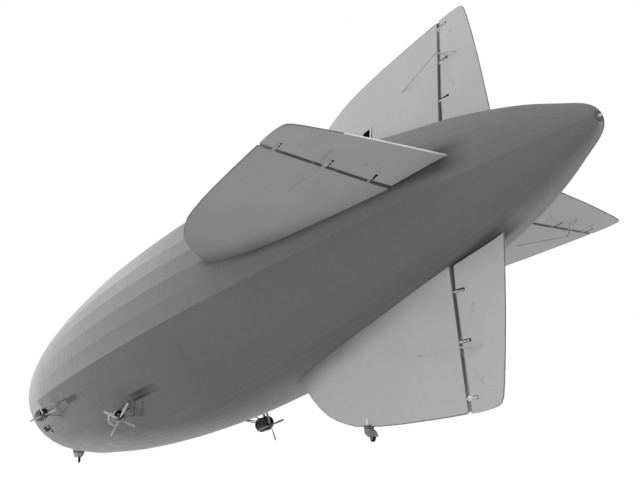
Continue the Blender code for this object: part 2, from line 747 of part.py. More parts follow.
def build_bow_leg(mat):
    """The tapered leg under the control car."""
    px = x_of(BOW_PIVOT)
    top = CAB[0][3] - GAP
    obj = rod("bow_wheel_leg", (px, 0, BOW_COLLAR), (px, 0, top), 0.036, mat, 20, 0.050)
    join(obj, pin("bow_pin", BOW_PIVOT, BOW_COLLAR, mat))
    return obj


def tail_leg_box(name, half_long, half_wide, top, gap, mat):
    px = x_of(TAIL_PIVOT)
    low = (px - half_long - gap, -half_wide - gap, TAIL_COLLAR - gap)
    return box(name, low, (px + half_long + gap, half_wide + gap, top + gap), mat)


def build_tail_leg(fin, mat):
    """The block and rib let into the ventral fin's edge, with the fork's pin."""
    obj = tail_leg_box("tail_wheel_leg", *TAIL_BLOCK, 0.0, mat)
    rib = tail_leg_box("tail_leg_rib", *TAIL_RIB, 0.0, mat)
    join(obj, rib, pin("tail_pin", TAIL_PIVOT, TAIL_COLLAR, mat))
    for name, row in (("block_notch", TAIL_BLOCK), ("rib_notch", TAIL_RIB)):
        cut(fin, tail_leg_box(name, *row, GAP, mat))
    return obj


def build_hull(skin_mat, trim_mat, lamp_mat):
    """The envelope, its nose and tail pieces, the tail lamp and the mooring spindle."""
    outer = [hull_ring(s) for s in RINGS]
    inner = [inner_ring(s) for s in INNER_RINGS[:-1]]
    inner[0] = [(x_of(RINGS[0]), y, z) for _, y, z in hull_ring(RINGS[0], -WALL * 1.2)]
    inner.append([(x_of(RINGS[-1]), y, z) for _, y, z in hull_ring(RINGS[-1], -WALL * 1.6)])
    hull = solid("hull_envelope", outer + inner[::-1], skin_mat, looped=True)
    tail = solid("tail_cap", [hull_ring(s) for s in [TAIL_JOINT - GAP, *TAIL_RINGS[1:]]], skin_mat)
    nose = solid("nose_cap", [hull_ring(s) for s in [NOSE_JOINT + GAP, *NOSE_RINGS[1:]]], skin_mat)
    seat = x_of(0.045)
    pocket = rod("tail_lamp_pocket", (seat, 0, 0), (seat - 0.2, 0, 0), LAMP_R + GAP, trim_mat, 18)
    cut(tail, pocket)
    ring_rows = [(0.0, LAMP_R), (0.034, LAMP_R), (0.040, LAMP_R - 0.006), (0.030, 0.020)]
    ring = turned("tail_lamp_ring", (seat - GAP, 0, 0), (-1, 0, 0), ring_rows, trim_mat, 18)
    well = rod("tail_lamp_well", (seat - 0.012, 0, 0), (seat - 0.2, 0, 0), 0.0158, trim_mat, 14)
    cut(ring, well)
    lamp_rows = [(0.0, 0.0154), (0.028, 0.0154), (0.038, 0.012), (0.042, 0.005)]
    lamp = turned("tail_lamp", (seat - 0.012 - GAP, 0, 0), (-1, 0, 0), lamp_rows, lamp_mat, 14)
    spindle = turned("mooring_spindle", (x_of(24.455) + GAP, 0, 0), (1, 0, 0),
                     [(0.0, 0.075), (0.030, 0.070), (0.050, 0.050), (0.105, 0.045)], trim_mat, 24)
    return hull, tail, nose, lamp, spindle


def main():
    clear_scene()
    silver = paint("doped_fabric", (0.55, 0.56, 0.56), 0.55, 0.1)
    alloy = paint("painted_alloy", (0.42, 0.44, 0.45), 0.45, 0.3)
    steel = paint("dark_steel", (0.06, 0.06, 0.065), 0.45, 0.6)
    iron = paint("engine_iron", (0.06, 0.06, 0.065), 0.6, 0.4)
    wood = paint("varnished_blade", (0.62, 0.60, 0.55), 0.45)
    black = paint("tyre_rubber", (0.02, 0.02, 0.02), 0.8)
    glass = paint("window_glass", (0.08, 0.10, 0.11), 0.05)
    lamp = paint("lamp_lens", (0.9, 0.9, 0.85), 0.15)
    hull_cutter = hull_solid("hull_cutter", GAP, silver)
    hull = build_hull(silver, steel, lamp)[0]
    for name, degrees, rear, arms in FINS:
        fin = build_fin(name, degrees, rear, arms, hull_cutter, silver)
        if name == "ventral":
            build_tail_leg(fin, alloy)
        if name == "dorsal":
            cut(fin, build_doorway(silver))
        build_surface(SURFACE_NAMES[name], degrees, rear, arms, silver)
        build_post("hinge_post_" + name, degrees, rear, arms, alloy)
    for name, station, y, z, phase, spread in CARS:
        hub = (x_of(station), y, z)
        build_car("engine_car_" + name, hub, alloy)
        build_engine("engine_" + name, hub, hull_cutter, iron)
        build_propeller("propeller_" + name, hub, phase, wood)
        build_struts("car_struts_" + name, hub, spread, hull_cutter, alloy)
    build_control_car(hull_cutter, alloy, glass)
    for side in (1, -1):
        build_deck(side, hull, alloy, glass)
    build_bow_leg(steel)
    build_fork("bow_wheel_fork", BOW_FORK, BOW_PIVOT, BOW_WHEEL, steel)
    build_wheel("bow_wheel", *BOW_WHEEL, black, alloy)
    build_fork("tail_wheel_fork", TAIL_FORK, TAIL_PIVOT, TAIL_WHEEL, alloy)
    build_wheel("tail_wheel", *TAIL_WHEEL, black, alloy)


main()
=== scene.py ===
# %% [markdown]
# # A rigid airship's looks
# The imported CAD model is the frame: every piece made here rides on one of its bodies. The
# ship is a 1:10 scale model, so a girder that is 5 m from the next on the real ship is 0.5 m
# from it here. X runs towards the nose, Y to port and Z up, all in metres.

# %% Load the frame
import math

import bmesh
import bpy
import numpy as np
from mathutils import Matrix, Vector


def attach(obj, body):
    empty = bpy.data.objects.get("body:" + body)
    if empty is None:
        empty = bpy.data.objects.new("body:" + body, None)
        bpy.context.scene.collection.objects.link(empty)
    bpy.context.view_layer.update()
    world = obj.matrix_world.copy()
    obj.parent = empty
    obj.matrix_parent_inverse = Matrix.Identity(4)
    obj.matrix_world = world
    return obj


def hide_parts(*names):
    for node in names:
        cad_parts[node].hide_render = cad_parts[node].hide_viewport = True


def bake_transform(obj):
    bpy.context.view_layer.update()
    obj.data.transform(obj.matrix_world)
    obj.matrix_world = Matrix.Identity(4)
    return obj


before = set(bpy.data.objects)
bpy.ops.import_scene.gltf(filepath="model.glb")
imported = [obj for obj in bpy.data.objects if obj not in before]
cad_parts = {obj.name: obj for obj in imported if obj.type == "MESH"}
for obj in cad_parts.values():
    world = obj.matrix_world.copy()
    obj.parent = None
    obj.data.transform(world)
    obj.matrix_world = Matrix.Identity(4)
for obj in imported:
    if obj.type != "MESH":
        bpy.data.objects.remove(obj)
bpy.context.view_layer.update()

# %% [markdown]
# ## The hull's profile
# A station is the distance from the tail tip. The hull's radius is given at a few stations
# and is needed at all of them. Straight lines would kink, and a plain spline would swell
# between two points, so a monotone cubic runs through them, as a draughtsman's batten would
# lie. The same curve shapes the solids.

# %% Hull profile
ORIGIN_STATION = 13.25               # station of the model's origin
PANEL = math.radians(10.0)           # one of the hull's 36 flat sides
PROFILE = np.array([                 # station, radius of the girder corners
    (0.00, 0.000), (0.03, 0.088), (0.08, 0.141), (0.15, 0.185), (0.25, 0.235),
    (0.60, 0.406), (1.20, 0.625), (2.00, 0.835), (3.00, 1.099), (4.50, 1.412),
    (6.50, 1.690), (9.00, 1.898), (11.5, 2.020), (14.0, 2.059), (16.5, 2.034),
    (18.5, 1.946), (20.3, 1.791), (21.8, 1.485), (23.0, 1.174), (23.8, 0.833),
    (24.05, 0.676), (24.3, 0.455), (24.42, 0.285), (24.5, 0.000),
])


def profile_tangents():
    """Slopes of the monotone cubic at the profile's points."""
    step = np.diff(PROFILE[:, 0])
    slope = np.diff(PROFILE[:, 1]) / step
    tangents = np.zeros(len(PROFILE))
    for i in range(1, len(PROFILE) - 1):
        if slope[i - 1] * slope[i] > 0:
            w1 = 2 * step[i] + step[i - 1]
            w2 = step[i] + 2 * step[i - 1]
            tangents[i] = (w1 + w2) / (w1 / slope[i - 1] + w2 / slope[i])
    tangents[0], tangents[-1] = slope[0], slope[-1]
    return tangents


TANGENTS = profile_tangents()


def hull_radius(station):
    """Radius of the hull's girder corners at a station."""
    s, r = PROFILE[:, 0], PROFILE[:, 1]
    i = int(np.clip(np.searchsorted(s, station) - 1, 0, len(s) - 2))
    step = s[i + 1] - s[i]
    t = (station - s[i]) / step
    start = (1 + 2 * t) * (1 - t) ** 2 * r[i] + t * (1 - t) ** 2 * step * TANGENTS[i]
    end = t * t * (3 - 2 * t) * r[i + 1] + t * t * (t - 1) * step * TANGENTS[i + 1]
    return float(start + end)


print("greatest radius:", round(max(hull_radius(s) for s in np.arange(1, 24, 0.1)), 3))

# %% [markdown]
# ## Points on the hull
# Windows, lines and the cloth itself are placed by station and by degrees round the axis. A
# round tube would do for a soft ship, but this one has flat sides: in the middle of a panel
# the cloth lies nearer to the axis than at its girders, and one function works that out.

# %% Points on the hull
def on_hull(station, degrees, proud=0.0):
    """A point on the flat panels; 0 degrees is port and 90 degrees is up."""
    inside = math.radians(degrees % 10.0 - 5.0)
    r = hull_radius(station) * math.cos(PANEL / 2) / math.cos(inside) + proud
    a = math.radians(degrees)
    return Vector((station - ORIGIN_STATION, r * math.cos(a), r * math.sin(a)))


def on_side(degrees, starboard):
    """An angle of the port side, or the one opposite it on the starboard side."""
    return -180 - degrees if starboard else degrees


print("widest panel:", round(2 * hull_radius(14.0) * math.sin(PANEL / 2), 3), "m across")

# %% [markdown]
# ## Camera
# The photograph is taken from the ground behind the ship's port quarter, looking up. A camera
# set by eye would leave each part a little off, so this one was found by matching the
# outline, the tail and the cars. Its place and its turn are one point and three directions.

# %% Camera
EYE = Vector((-15.84754303, 4.0427545, -2.64106574))
RIGHT = (-0.49962992, -0.86623482, -0.00268078)
UP = (-0.30511302, 0.17308606, 0.93645462)
FORWARD = (0.81072559, -0.46869869, 0.35077849)
FOCAL_PIXELS, PICTURE_WIDTH = 628.5652522, 640.0
SENSOR = 36.0
NEAR, FAR = 0.05, 400.0
lens = bpy.data.cameras.new("camera")
lens.sensor_width = SENSOR
lens.lens = FOCAL_PIXELS * SENSOR / PICTURE_WIDTH
lens.clip_start, lens.clip_end = NEAR, FAR
camera = bpy.data.objects.new("camera", lens)
bpy.context.scene.collection.objects.link(camera)
turn = Matrix((RIGHT, UP, [-v for v in FORWARD])).transposed()
camera.matrix_world = Matrix.LocRotScale(EYE, turn.to_quaternion(), None)
bpy.context.scene.camera = camera
print("lens:", round(lens.lens, 2), "mm, eye:", [round(v, 2) for v in EYE])

# %% [markdown]
# ## Colours and nodes
# A paint chart gives colours as hex values, which are coded for a screen. Light has to be
# summed in linear values, so one function turns each hex value to linear. One more function
# adds any shader node, sets it and links it, and each finish below is built with it.

# %% Colour and node helpers
def linear(code, alpha=1.0):
    """An sRGB hex value as linear colour."""
    values = [int(code[i:i + 2], 16) / 255 for i in (1, 3, 5)]
    return (*[v / 12.92 if v <= 0.04045 else ((v + 0.055) / 1.055) ** 2.4 for v in values], alpha)


def put(tree, kind, inputs=(), **settings):
    """Adds a node: sockets are linked to its inputs, values and hex colours are set."""
    made = tree.nodes.new("ShaderNode" + kind)
    for key, value in settings.items():
        setattr(made, key, value)
    pairs = inputs.items() if isinstance(inputs, dict) else enumerate(inputs)
    for key, value in pairs:
        if isinstance(value, bpy.types.NodeSocket):
            tree.links.new(value, made.inputs[key])
        else:
            made.inputs[key].default_value = linear(value) if isinstance(value, str) else value
    return made.outputs


print("mid grey in linear light:", round(linear("#808080")[0], 3))

# %% [markdown]
# ## Light
# The photograph has a white background and an even, soft light. A lit backdrop could stand
# behind the ship, but it would throw light of its own. Here the sky gives a soft light that
# is stronger from above, and only the camera sees it as plain white. One broad key light
# stands ahead, a little to port: it grazes the panels, so each flat strip takes its own tone.

# %% Light
KEY_FROM = Vector((0.885, 0.144, 0.442))
KEY_STRENGTH = 1.2
KEY_WIDTH = math.radians(6.0)        # a thin cloud's worth: shadows have soft edges
SKY_EVEN = 0.85
SKY_LEAN = (0.0, 0.09, 0.25)         # how much more comes from port and from above
bpy.context.scene.view_settings.view_transform = "Standard"
world = bpy.data.worlds.new("soft_sky")
bpy.context.scene.world = world
world.use_nodes = True
sky = world.node_tree
sky.nodes.clear()
way = put(sky, "TexCoord")["Generated"]
lean = put(sky, "VectorMath", (way, SKY_LEAN), operation="DOT_PRODUCT")["Value"]
glow = put(sky, "Math", (lean, SKY_EVEN), operation="ADD")[0]
soft = put(sky, "Background", ("#ffffff", glow))[0]
plain = put(sky, "Background", ("#ffffff", 1.0))[0]
seen = put(sky, "LightPath")["Is Camera Ray"]
put(sky, "OutputWorld", (put(sky, "MixShader", (seen, soft, plain))[0],))

key = bpy.data.lights.new("key", "SUN")
key.energy = KEY_STRENGTH
key.angle = KEY_WIDTH
key_light = bpy.data.objects.new("key", key)
key_light.rotation_euler = KEY_FROM.to_track_quat("Z", "Y").to_euler()
bpy.context.scene.collection.objects.link(key_light)
print("key light from", [round(v, 2) for v in KEY_FROM])

# %% [markdown]
# ## Where each finish starts
# Every finish here is one Principled shader with nodes that feed it. The shader's plain
# numbers could be set anew for each finish, but they are always the same four, so one
# function sets them, and another joins the nodes to the shader at the end.

# %% Finish helpers
NOISE = (0.3, 0.7)                   # a noise seldom leaves this part of its range


def finish_of(name, colour, roughness, metallic=0.0, ior=1.5):
    """A material with its Principled shader, and the shader's node tree."""
    mat = bpy.data.materials.new(name)
    mat.use_nodes = True
    shader = mat.node_tree.nodes["Principled BSDF"]
    shader.inputs["Base Color"].default_value = linear(colour)
    shader.inputs["Roughness"].default_value = roughness
    shader.inputs["Metallic"].default_value = metallic
    shader.inputs["IOR"].default_value = ior
    return mat, shader, mat.node_tree


def feed(tree, shader, sockets):
    """Links each output to the shader's socket of that name."""
    for name, value in sockets.items():
        tree.links.new(value, shader.inputs[name])


print("a noise is read from", NOISE[0], "to", NOISE[1])

# %% [markdown]
# ## Floor
# The ship stands over plain pale paper that lies just below the camera. A studio's paper
# would throw light up at the hull, and the sky's light has that already, so the paper is left
# out of the light that other surfaces get. It glows a little, so that it burns out to white
# as the photograph's background does.

# %% Floor
FLOOR_Z = -2.66
FLOOR_SIZE = 400.0
FLOOR_GLOW = 0.70
PAPER_PATCH = 3.0                    # patches across the whole floor: a slow drift of its tone
matt_paper, paper, tree = finish_of("matt_paper", "#f4f4f2", 0.9)
grain = put(tree, "TexNoise", {"Scale": PAPER_PATCH, "Detail": 3.0})["Fac"]
tone = put(tree, "Mix", {0: grain, 6: "#f1f1ef", 7: "#f7f7f5"}, data_type="RGBA")[2]
feed(tree, paper, {"Base Color": tone, "Emission Color": tone})
paper.inputs["Emission Strength"].default_value = FLOOR_GLOW
bpy.ops.mesh.primitive_plane_add(size=FLOOR_SIZE, location=(0.0, 0.0, FLOOR_Z))
floor = bpy.context.object
floor.name = "floor"
floor.data.materials.append(matt_paper)
floor.visible_diffuse = False
floor.visible_glossy = False
print("floor at", FLOOR_Z)

# %% [markdown]
# ## Doped cotton on the hull
# The ship is covered in cotton that is laced over the girders and painted with aluminium
# dope. The eye gets a matt silver grey, flat panels that each take one tone, and fine streaks
# across the ship where the cloth was pulled tight. It could be one noise over a grey, but the
# streaks stop at each girder, so the pattern is drawn in the hull's own coordinates: the
# station, and the turn about the axis counted in panels of 10 degrees.

# %% Hull cloth: where a point lies
BARE_DOPE = "#bcbcbc"
DOPE_ROUGHNESS, DOPE_SPECULAR = 0.75, 0.08
DEGREES = 180.0 / math.pi
doped_cotton_hull, shader, tree = finish_of("doped_cotton_hull", BARE_DOPE, DOPE_ROUGHNESS)
shader.inputs["Specular IOR Level"].default_value = DOPE_SPECULAR
axes = put(tree, "SeparateXYZ", (put(tree, "TexCoord")["Object"],))
station = put(tree, "Math", (axes["X"], ORIGIN_STATION), operation="ADD")[0]
turned = put(tree, "Math", (axes["Z"], axes["Y"]), operation="ARCTAN2")[0]
signed = put(tree, "Math", (turned, DEGREES), operation="MULTIPLY")[0]
out = put(tree, "Math", (axes["Y"],), operation="ABSOLUTE")[0]
raised = put(tree, "Math", (axes["Z"], out), operation="ARCTAN2")[0]
side = put(tree, "Math", (raised, DEGREES), operation="MULTIPLY")[0]    # the same on both sides
panels = put(tree, "Math", (signed, 0.1), operation="MULTIPLY")[0]
panel = put(tree, "Math", (panels,), operation="FLOOR")[0]
across = put(tree, "Math", (panels,), operation="FRACT")[0]
flat = put(tree, "CombineXYZ", (0.0, axes["Y"], axes["Z"]))[0]
girth = put(tree, "VectorMath", (flat,), operation="LENGTH")["Value"]
print("hull coordinates:", len(tree.nodes), "nodes")

# %% [markdown]
# ## Pulls in the cloth
# Where the cloth is laced tight it ripples from girder to girder. A stretched noise gives
# such ripples, but one noise would run on over the girders. Each panel therefore shifts the
# noise by its own number, and the ripples slant a little across it. They grow weaker towards
# the tail, where more coats of dope have filled them.

# %% Hull cloth: pulls
PULLS = [
    # per metre along the ship, slant across a panel, shift to the next panel, light (painted shade and light
    # on the ripple), depth in metres
    (4.3, 0.22, 5.17, 0.15, 0.0030),     # 230 mm on the model
    (11.0, 0.35, 8.31, 0.28, 0.0016),    # 90 mm
    (34.0, 0.9, 3.71, 0.18, 0.0003),     # 30 mm, which shows only close up
]
TAUT = (8.5, 16.0, 0.12, 1.0)            # stations, and how strong the pulls are at each
streaks = []
for pitch, slant, shift, _, _ in PULLS:
    parts = [put(tree, "Math", (v, k), operation="MULTIPLY")[0]
             for v, k in ((station, pitch), (panel, shift), (across, slant))]
    place = put(tree, "CombineXYZ", parts)[0]
    noise = put(tree, "TexNoise", {"Vector": place, "Scale": 1.0, "Detail": 2.0})["Fac"]
    streaks.append(put(tree, "MapRange", (noise, *NOISE, -0.5, 0.5))[0])
taut = put(tree, "MapRange", (station, *TAUT))[0]
print("pulls:", [round(1000 / row[0]) for row in PULLS], "mm")

# %% [markdown]
# ## Tones of the dope, and painted shade
# The cloth grows darker towards the tail. Below the widest girder the sides are darker still:
# that is painted shade, on the panels that face away from the key light, and the keel's lighter
# tone is painted light from below and to starboard. A painted map could hold that, but three
# ramps along the ship are enough: one above, one below and one for the keel, each a short list
# of paints.

# %% Hull cloth: tones
# Station and colour; the light end of each list is the cloth as it was doped. The second list
# is painted shade on the sides, the third painted light on the keel.
UPPER = [(0.5, "#777777"), (5.0, "#7f7f7f"), (10.0, "#949494"), (16.0, "#b2b2b2"), (17.5, "#c4c4c4")]
SHADED_SIDES = [(0.5, "#737373"), (6.0, "#707070"), (11.0, "#7d7d7d"), (16.0, "#969696"), (21.0, "#b9b9b9")]
LIT_KEEL = [(0.5, "#8d8d8d"), (3.0, "#b0b0b0"), (6.0, "#9c9c9c"), (9.0, "#b4b4b4"), (14.0, "#cacaca")]
along = put(tree, "MapRange", (station, 0.0, PROFILE[-1, 0]))[0]
tones = []
for table in (UPPER, SHADED_SIDES, LIT_KEEL):
    outputs = put(tree, "ValToRGB", (along,))
    ramp = outputs[0].node.color_ramp
    while len(ramp.elements) < len(table):
        ramp.elements.new(1.0)
    for element, (at, colour) in zip(ramp.elements, table):
        element.position = at / PROFILE[-1, 0]
        element.color = linear(colour)
    tones.append(outputs[0])
print("ramps:", len(tones))

# %% [markdown]
# ## Where the tones meet
# The painted shade of the sides starts along a girder, where the flat panels turn away from the
# key light; ahead of the promenade's first ring it starts one girder lower. The keel's painted
# light ends along a slanting line. Faces could be given materials of their own there, but the
# limits are drawn with the same station and angle as the panels, so they fall on the girders
# and the cloth stays one finish.

# %% Hull cloth: limits
SHADE_FROM = (16.60, 16.66, -20.0, -30.0)    # stations, and degrees at each
KEEL_FROM = (8.0, 13.0, -76.0, -54.0)
KEEL_FULL = -104.0                           # degrees where the keel's tone is reached
FAR_KEEL = (-150.0, -126.0)                  # the keel's soft edge on the starboard side
shade_edge_at = put(tree, "MapRange", (station, *SHADE_FROM))[0]
below = put(tree, "Math", (side, shade_edge_at), operation="LESS_THAN")[0]
keel_edge = put(tree, "MapRange", (station, *KEEL_FROM))[0]
port_keel = put(tree, "MapRange", (signed, keel_edge, KEEL_FULL))[0]
far_keel = put(tree, "MapRange", (signed, *FAR_KEEL))[0]
keel = put(tree, "Math", (port_keel, far_keel), operation="MULTIPLY")[0]
lower = put(tree, "Mix", {0: keel, 6: tones[1], 7: tones[2]}, data_type="RGBA")[2]
cloth = put(tree, "Mix", {0: below, 6: tones[0], 7: lower}, data_type="RGBA")[2]
print("dark sides from", SHADE_FROM[2], "and", SHADE_FROM[3], "degrees")

# %% [markdown]
# ## Lighter rings
# Along a few rings the cloth is lighter. At ring 16.6 it is painted light: there the cloth
# turns towards the key light. Each could be a thin strip of its own, but it has no edge one
# could feel, so it is only a change of tone: a band at a station, and a loop that keeps the
# strongest.

# %% Hull cloth: lighter rings
# Station, half width in metres and how much lighter.
RINGS = [(16.60, 0.05, 0.16), (13.20, 0.04, 0.06), (14.65, 0.03, 0.05), (15.50, 0.03, 0.05),
         (8.10, 0.03, 0.04)]
lighter_rings = 0.0
for at, half, gain in RINGS:
    away = put(tree, "Math", (station, at), operation="SUBTRACT")[0]
    away = put(tree, "Math", (away,), operation="ABSOLUTE")[0]
    ring = put(tree, "MapRange", (away, half, half * 0.5, 0.0, gain))[0]
    lighter_rings = put(tree, "Math", (ring, lighter_rings), operation="MAXIMUM")[0]
print("fresh rings:", len(RINGS))

# %% [markdown]
# ## Soot
# Each exhaust has blackened a patch that starts sharply and fades aft in the wind. It could
# be a decal, but a decal has an edge and a thickness. Each patch is a rectangle of stations
# and degrees whose four sides fade, and a loop keeps the darkest where they overlap.

# %% Hull cloth: soot
SOOT = [
    # aft, ahead, lowest, highest, how softly the sides fade, length of the fade aft, strength
    (11.40, 12.87, -33.7, -29.9, 0.50, 0.50, 0.55),      # forward cars: the broad patch,
    (12.60, 13.90, -30.35, -29.55, 0.25, 0.10, 0.80),    # the line where it starts
    (10.40, 11.70, -32.1, -31.2, 0.50, 1.20, 0.30),      # and its thin end
    (7.35, 8.82, -49.6, -44.4, 0.50, 0.80, 0.60),        # aft cars: the broad patch
    (7.40, 8.62, -47.0, -44.7, 0.50, 0.80, 0.74),        # and its two dark cores
    (7.60, 8.82, -49.6, -47.7, 0.50, 0.60, 0.88),
]
SOOT_START = 0.10                        # metres in which a patch starts
SMUDGE = (-0.5, 0.5, 0.85, 1.0)          # the pulls break it up a little
dark = 0.0
for aft, ahead, low, high, side_fade, aft_fade, strength in SOOT:
    bounds = ((station, aft, aft + aft_fade), (station, ahead, ahead - SOOT_START),
              (side, low - side_fade / 2, low + side_fade), (side, high + side_fade / 2, high - side_fade))
    patch = strength
    for bound in bounds:
        edge = put(tree, "MapRange", bound)[0]
        patch = put(tree, "Math", (edge, patch), operation="MULTIPLY")[0]
    dark = put(tree, "Math", (patch, dark), operation="MAXIMUM")[0]
smudge = put(tree, "MapRange", (streaks[1], *SMUDGE))[0]
soot = put(tree, "Math", (dark, smudge), operation="MULTIPLY")[0]
cloth = put(tree, "Mix", {0: soot, 6: cloth, 7: "#262626"}, data_type="RGBA")[2]
print("soot patches:", len(SOOT))

# %% [markdown]
# ## Painted shade under the fins
# The corner where a fin meets the hull is darkened: painted shade, where the fin and the hull
# shut out the light. Ambient occlusion could find the corner, but an export loses it. The fins
# stand at every 90 degrees, so folding the angle gives the distance to the nearest one, less
# half its thickness.

# %% Hull cloth: painted shade under the fins
FIN_SWELLS = (1.6, 3.0, 0.07, 0.17)      # stations, and half the fin's thickness at each
FIN_TAPERS = (3.8, 4.9, 0.17, 0.02)
CORNER_SHADE = (0.01, 0.10, 0.58, 0.0)         # metres from the fin, and the painted shade's strength at each
BESIDE = (-0.90, -0.55)                  # heights: the ventral fin's corner has no painted shade,
REARMOST = (2.1, 1.6, 0.35, 1.15)        # apart from its rear end
fin_away = put(tree, "Math", (raised, math.pi / 4), operation="PINGPONG")[0]
fin_away = put(tree, "Math", (fin_away, girth), operation="MULTIPLY")[0]
thick = put(tree, "MapRange", (station, *FIN_SWELLS))[0]
taper = put(tree, "MapRange", (station, *FIN_TAPERS))[0]
thick = put(tree, "Math", (thick, taper), operation="MINIMUM")[0]
fin_away = put(tree, "Math", (fin_away, thick), operation="SUBTRACT")[0]
corner_shade = put(tree, "MapRange", (fin_away, *CORNER_SHADE))[0]
beside = put(tree, "MapRange", (axes["Z"], *BESIDE))[0]
rearmost = put(tree, "MapRange", (station, *REARMOST))[0]
ends = [put(tree, "Math", (beside, rearmost), operation="MAXIMUM")[0]]
# it ends ahead at the fins' front edge, aft at their rear edge, and above the side fins
for bound in ((station, 5.05, 4.75), (station, 0.9, 1.2), (axes["Z"], 0.7, 0.3)):
    ends.append(put(tree, "MapRange", bound)[0])
for edge in ends:
    corner_shade = put(tree, "Math", (corner_shade, edge), operation="MULTIPLY")[0]
cloth = put(tree, "Mix", {0: corner_shade, 6: cloth, 7: "#3a3a3a"}, data_type="RGBA")[2]
print("dirt reaches", CORNER_SHADE[1], "m from a fin")

# %% [markdown]
# ## Runs along the keel
# Under the keel the rain water runs fore and aft and leaves faint lines, some metres long.
# They could be drawn one by one; a noise that is stretched along the ship gives lines of the
# same length and spacing, and it fades in below the sides.

# %% Hull cloth: runs along the keel
RUN_LENGTH, RUN_WIDTH = 0.35, 0.55       # waves a metre along, and a degree across: 3 m by 2 degrees
RUNS_FROM = (-56.0, -66.0, 0.0, 0.16)    # degrees, and how strong the lines are at each
lane = put(tree, "CombineXYZ", (put(tree, "Math", (station, RUN_LENGTH), operation="MULTIPLY")[0],
                                put(tree, "Math", (signed, RUN_WIDTH), operation="MULTIPLY")[0], 0.0))[0]
runs = put(tree, "TexNoise", {"Vector": lane, "Scale": 1.0, "Detail": 3.0})["Fac"]
under = put(tree, "MapRange", (side, *RUNS_FROM))[0]
runs = put(tree, "MapRange", (runs, *NOISE, -0.5, 0.5))[0]
print("runs:", round(1 / RUN_LENGTH, 1), "m long")

# %% [markdown]
# ## Light, relief and sheen of the hull
# Each panel was doped from its own tin, so it takes its own tone. The pulls change the tone
# and the height alike: a ripple that only changed the tone would look printed. Their change of
# tone is painted shade and light, as the key light falls on each ripple. The dope wears to a
# finer surface along the finest pulls, so the roughness follows them.

# %% Hull cloth: light, relief and sheen
PANEL_TONE = 0.025                       # how far a panel's tone strays
EVEN_AHEAD = (14.5, 16.0, 1.0, 0.2)      # the bow was doped in one go
RELIEF = 0.8
WORN = (-0.5, 0.5, 0.68, 0.82)
own = put(tree, "TexWhiteNoise", {"W": panel}, noise_dimensions="1D")["Value"]
own = put(tree, "MapRange", (own, 0.0, 1.0, -PANEL_TONE, PANEL_TONE))[0]
even = put(tree, "MapRange", (station, *EVEN_AHEAD))[0]
own = put(tree, "Math", (own, even, 1.0), operation="MULTIPLY_ADD")[0]
light = put(tree, "Math", (lighter_rings, own), operation="ADD")[0]
light = put(tree, "Math", (runs, under, light), operation="MULTIPLY_ADD")[0]
height = 0.0
for streak, (_, _, _, gain, deep) in zip(streaks, PULLS):
    pull = put(tree, "Math", (streak, taut), operation="MULTIPLY")[0]
    light = put(tree, "Math", (pull, gain, light), operation="MULTIPLY_ADD")[0]
    height = put(tree, "Math", (pull, deep, height), operation="MULTIPLY_ADD")[0]
cloth = put(tree, "VectorMath", {0: cloth, "Scale": light}, operation="SCALE")[0]
relief = put(tree, "Bump", {"Height": height, "Strength": RELIEF, "Distance": 1.0})[0]
worn = put(tree, "MapRange", (streaks[2], *WORN))[0]
feed(tree, shader, {"Base Color": cloth, "Normal": relief, "Roughness": worn})
print("hull cloth nodes:", len(tree.nodes))

# %% [markdown]
# ## Painted shade on the tail
# Each fin is darker at its root, in the corner with the hull, and towards its front, which
# faces away from the light: both are painted shade. The gap at the hinge is darkened as painted
# shade in the gap. Both could be painted by hand on each tail; as functions of the station and
# of the height over the hull they fit all four.

# %% Tail cloth: painted shade at the root, the front and the hinge gap
UNDER_TAIL = (1.2, 4.85, 0.64, 1.47)     # stations, and the hull's radius at each
ROOT_REACH = 0.34                        # metres up from the hull
ROOT_SHADE = (1.9, 3.6, 0.1, 1.0)         # stations, and how much of the root's painted shade
FRONT_SHADE = (2.4, 4.9, 0.0)             # stations between which the front's painted shade grows
HINGE_GAP = (-0.060, -0.050, 0.0, 0.55)  # metres from the rear spar, and the painted shade's strength
SPAR_EDGE = (0.003, 0.001)


def tail_shade(tree, station, radius, front, root):
    """How much painted shade darkens a fin: at its root and in front."""
    skin = put(tree, "MapRange", (station, *UNDER_TAIL))[0]
    beyond = put(tree, "Math", (radius, skin), operation="SUBTRACT")[0]
    # painted shade at the root, fading out up the fin
    dirt = put(tree, "MapRange", (beyond, 0.0, ROOT_REACH, root, 0.0), interpolation_type="SMOOTHSTEP")[0]
    reach = put(tree, "MapRange", (station, *ROOT_SHADE))[0]
    dirt = put(tree, "Math", (dirt, reach), operation="MULTIPLY")[0]
    ahead = put(tree, "MapRange", (station, *FRONT_SHADE, front))[0]
    return put(tree, "Math", (dirt, ahead), operation="ADD")[0]


def hinge_gap_shade(tree, cloth, station, rear):
    """The cloth's colour with painted shade in the hinge gap."""
    nose = put(tree, "MapRange", (station, rear + HINGE_GAP[0], rear + HINGE_GAP[1], *HINGE_GAP[2:]))[0]
    spar = put(tree, "MapRange", (station, rear + SPAR_EDGE[0], rear + SPAR_EDGE[1]))[0]
    gap = put(tree, "Math", (nose, spar), operation="MULTIPLY")[0]
    return put(tree, "Mix", {0: gap, 6: cloth, 7: "#3c3c3b"}, data_type="RGBA")[2]


print("root dirt reaches", ROOT_REACH, "m up a fin")

# %% [markdown]
# ## Doped cotton on the tail
# Fins, rudders and elevators have the hull's cloth over ribs, so the eye gets a satin grey
# with faint tapes across it every 2.5 m of the real ship. A fin and its surface were doped
# apart and differ a little. Each of the four tails has its own tones, lighter or darker as
# painted light and shade, and its own share of painted shade, so one function makes the
# finish four times with its own values.

# %% Tail cloth
RIB_PITCH = 0.25
TAPE_EDGE, TAPE_SHADE = (0.010, 0.003), -0.018    # metres from a rib, and how dark its tape is
TAIL_ROUGHNESS, TAIL_SPECULAR = 0.68, 0.20
BLOTCH, WEAVE = 2.2, 90.0                # 450 mm; the real weave is 0.5 mm, drawn 11 mm coarse to show
WEAVE_DEPTH, SAG = 0.00012, 0.012


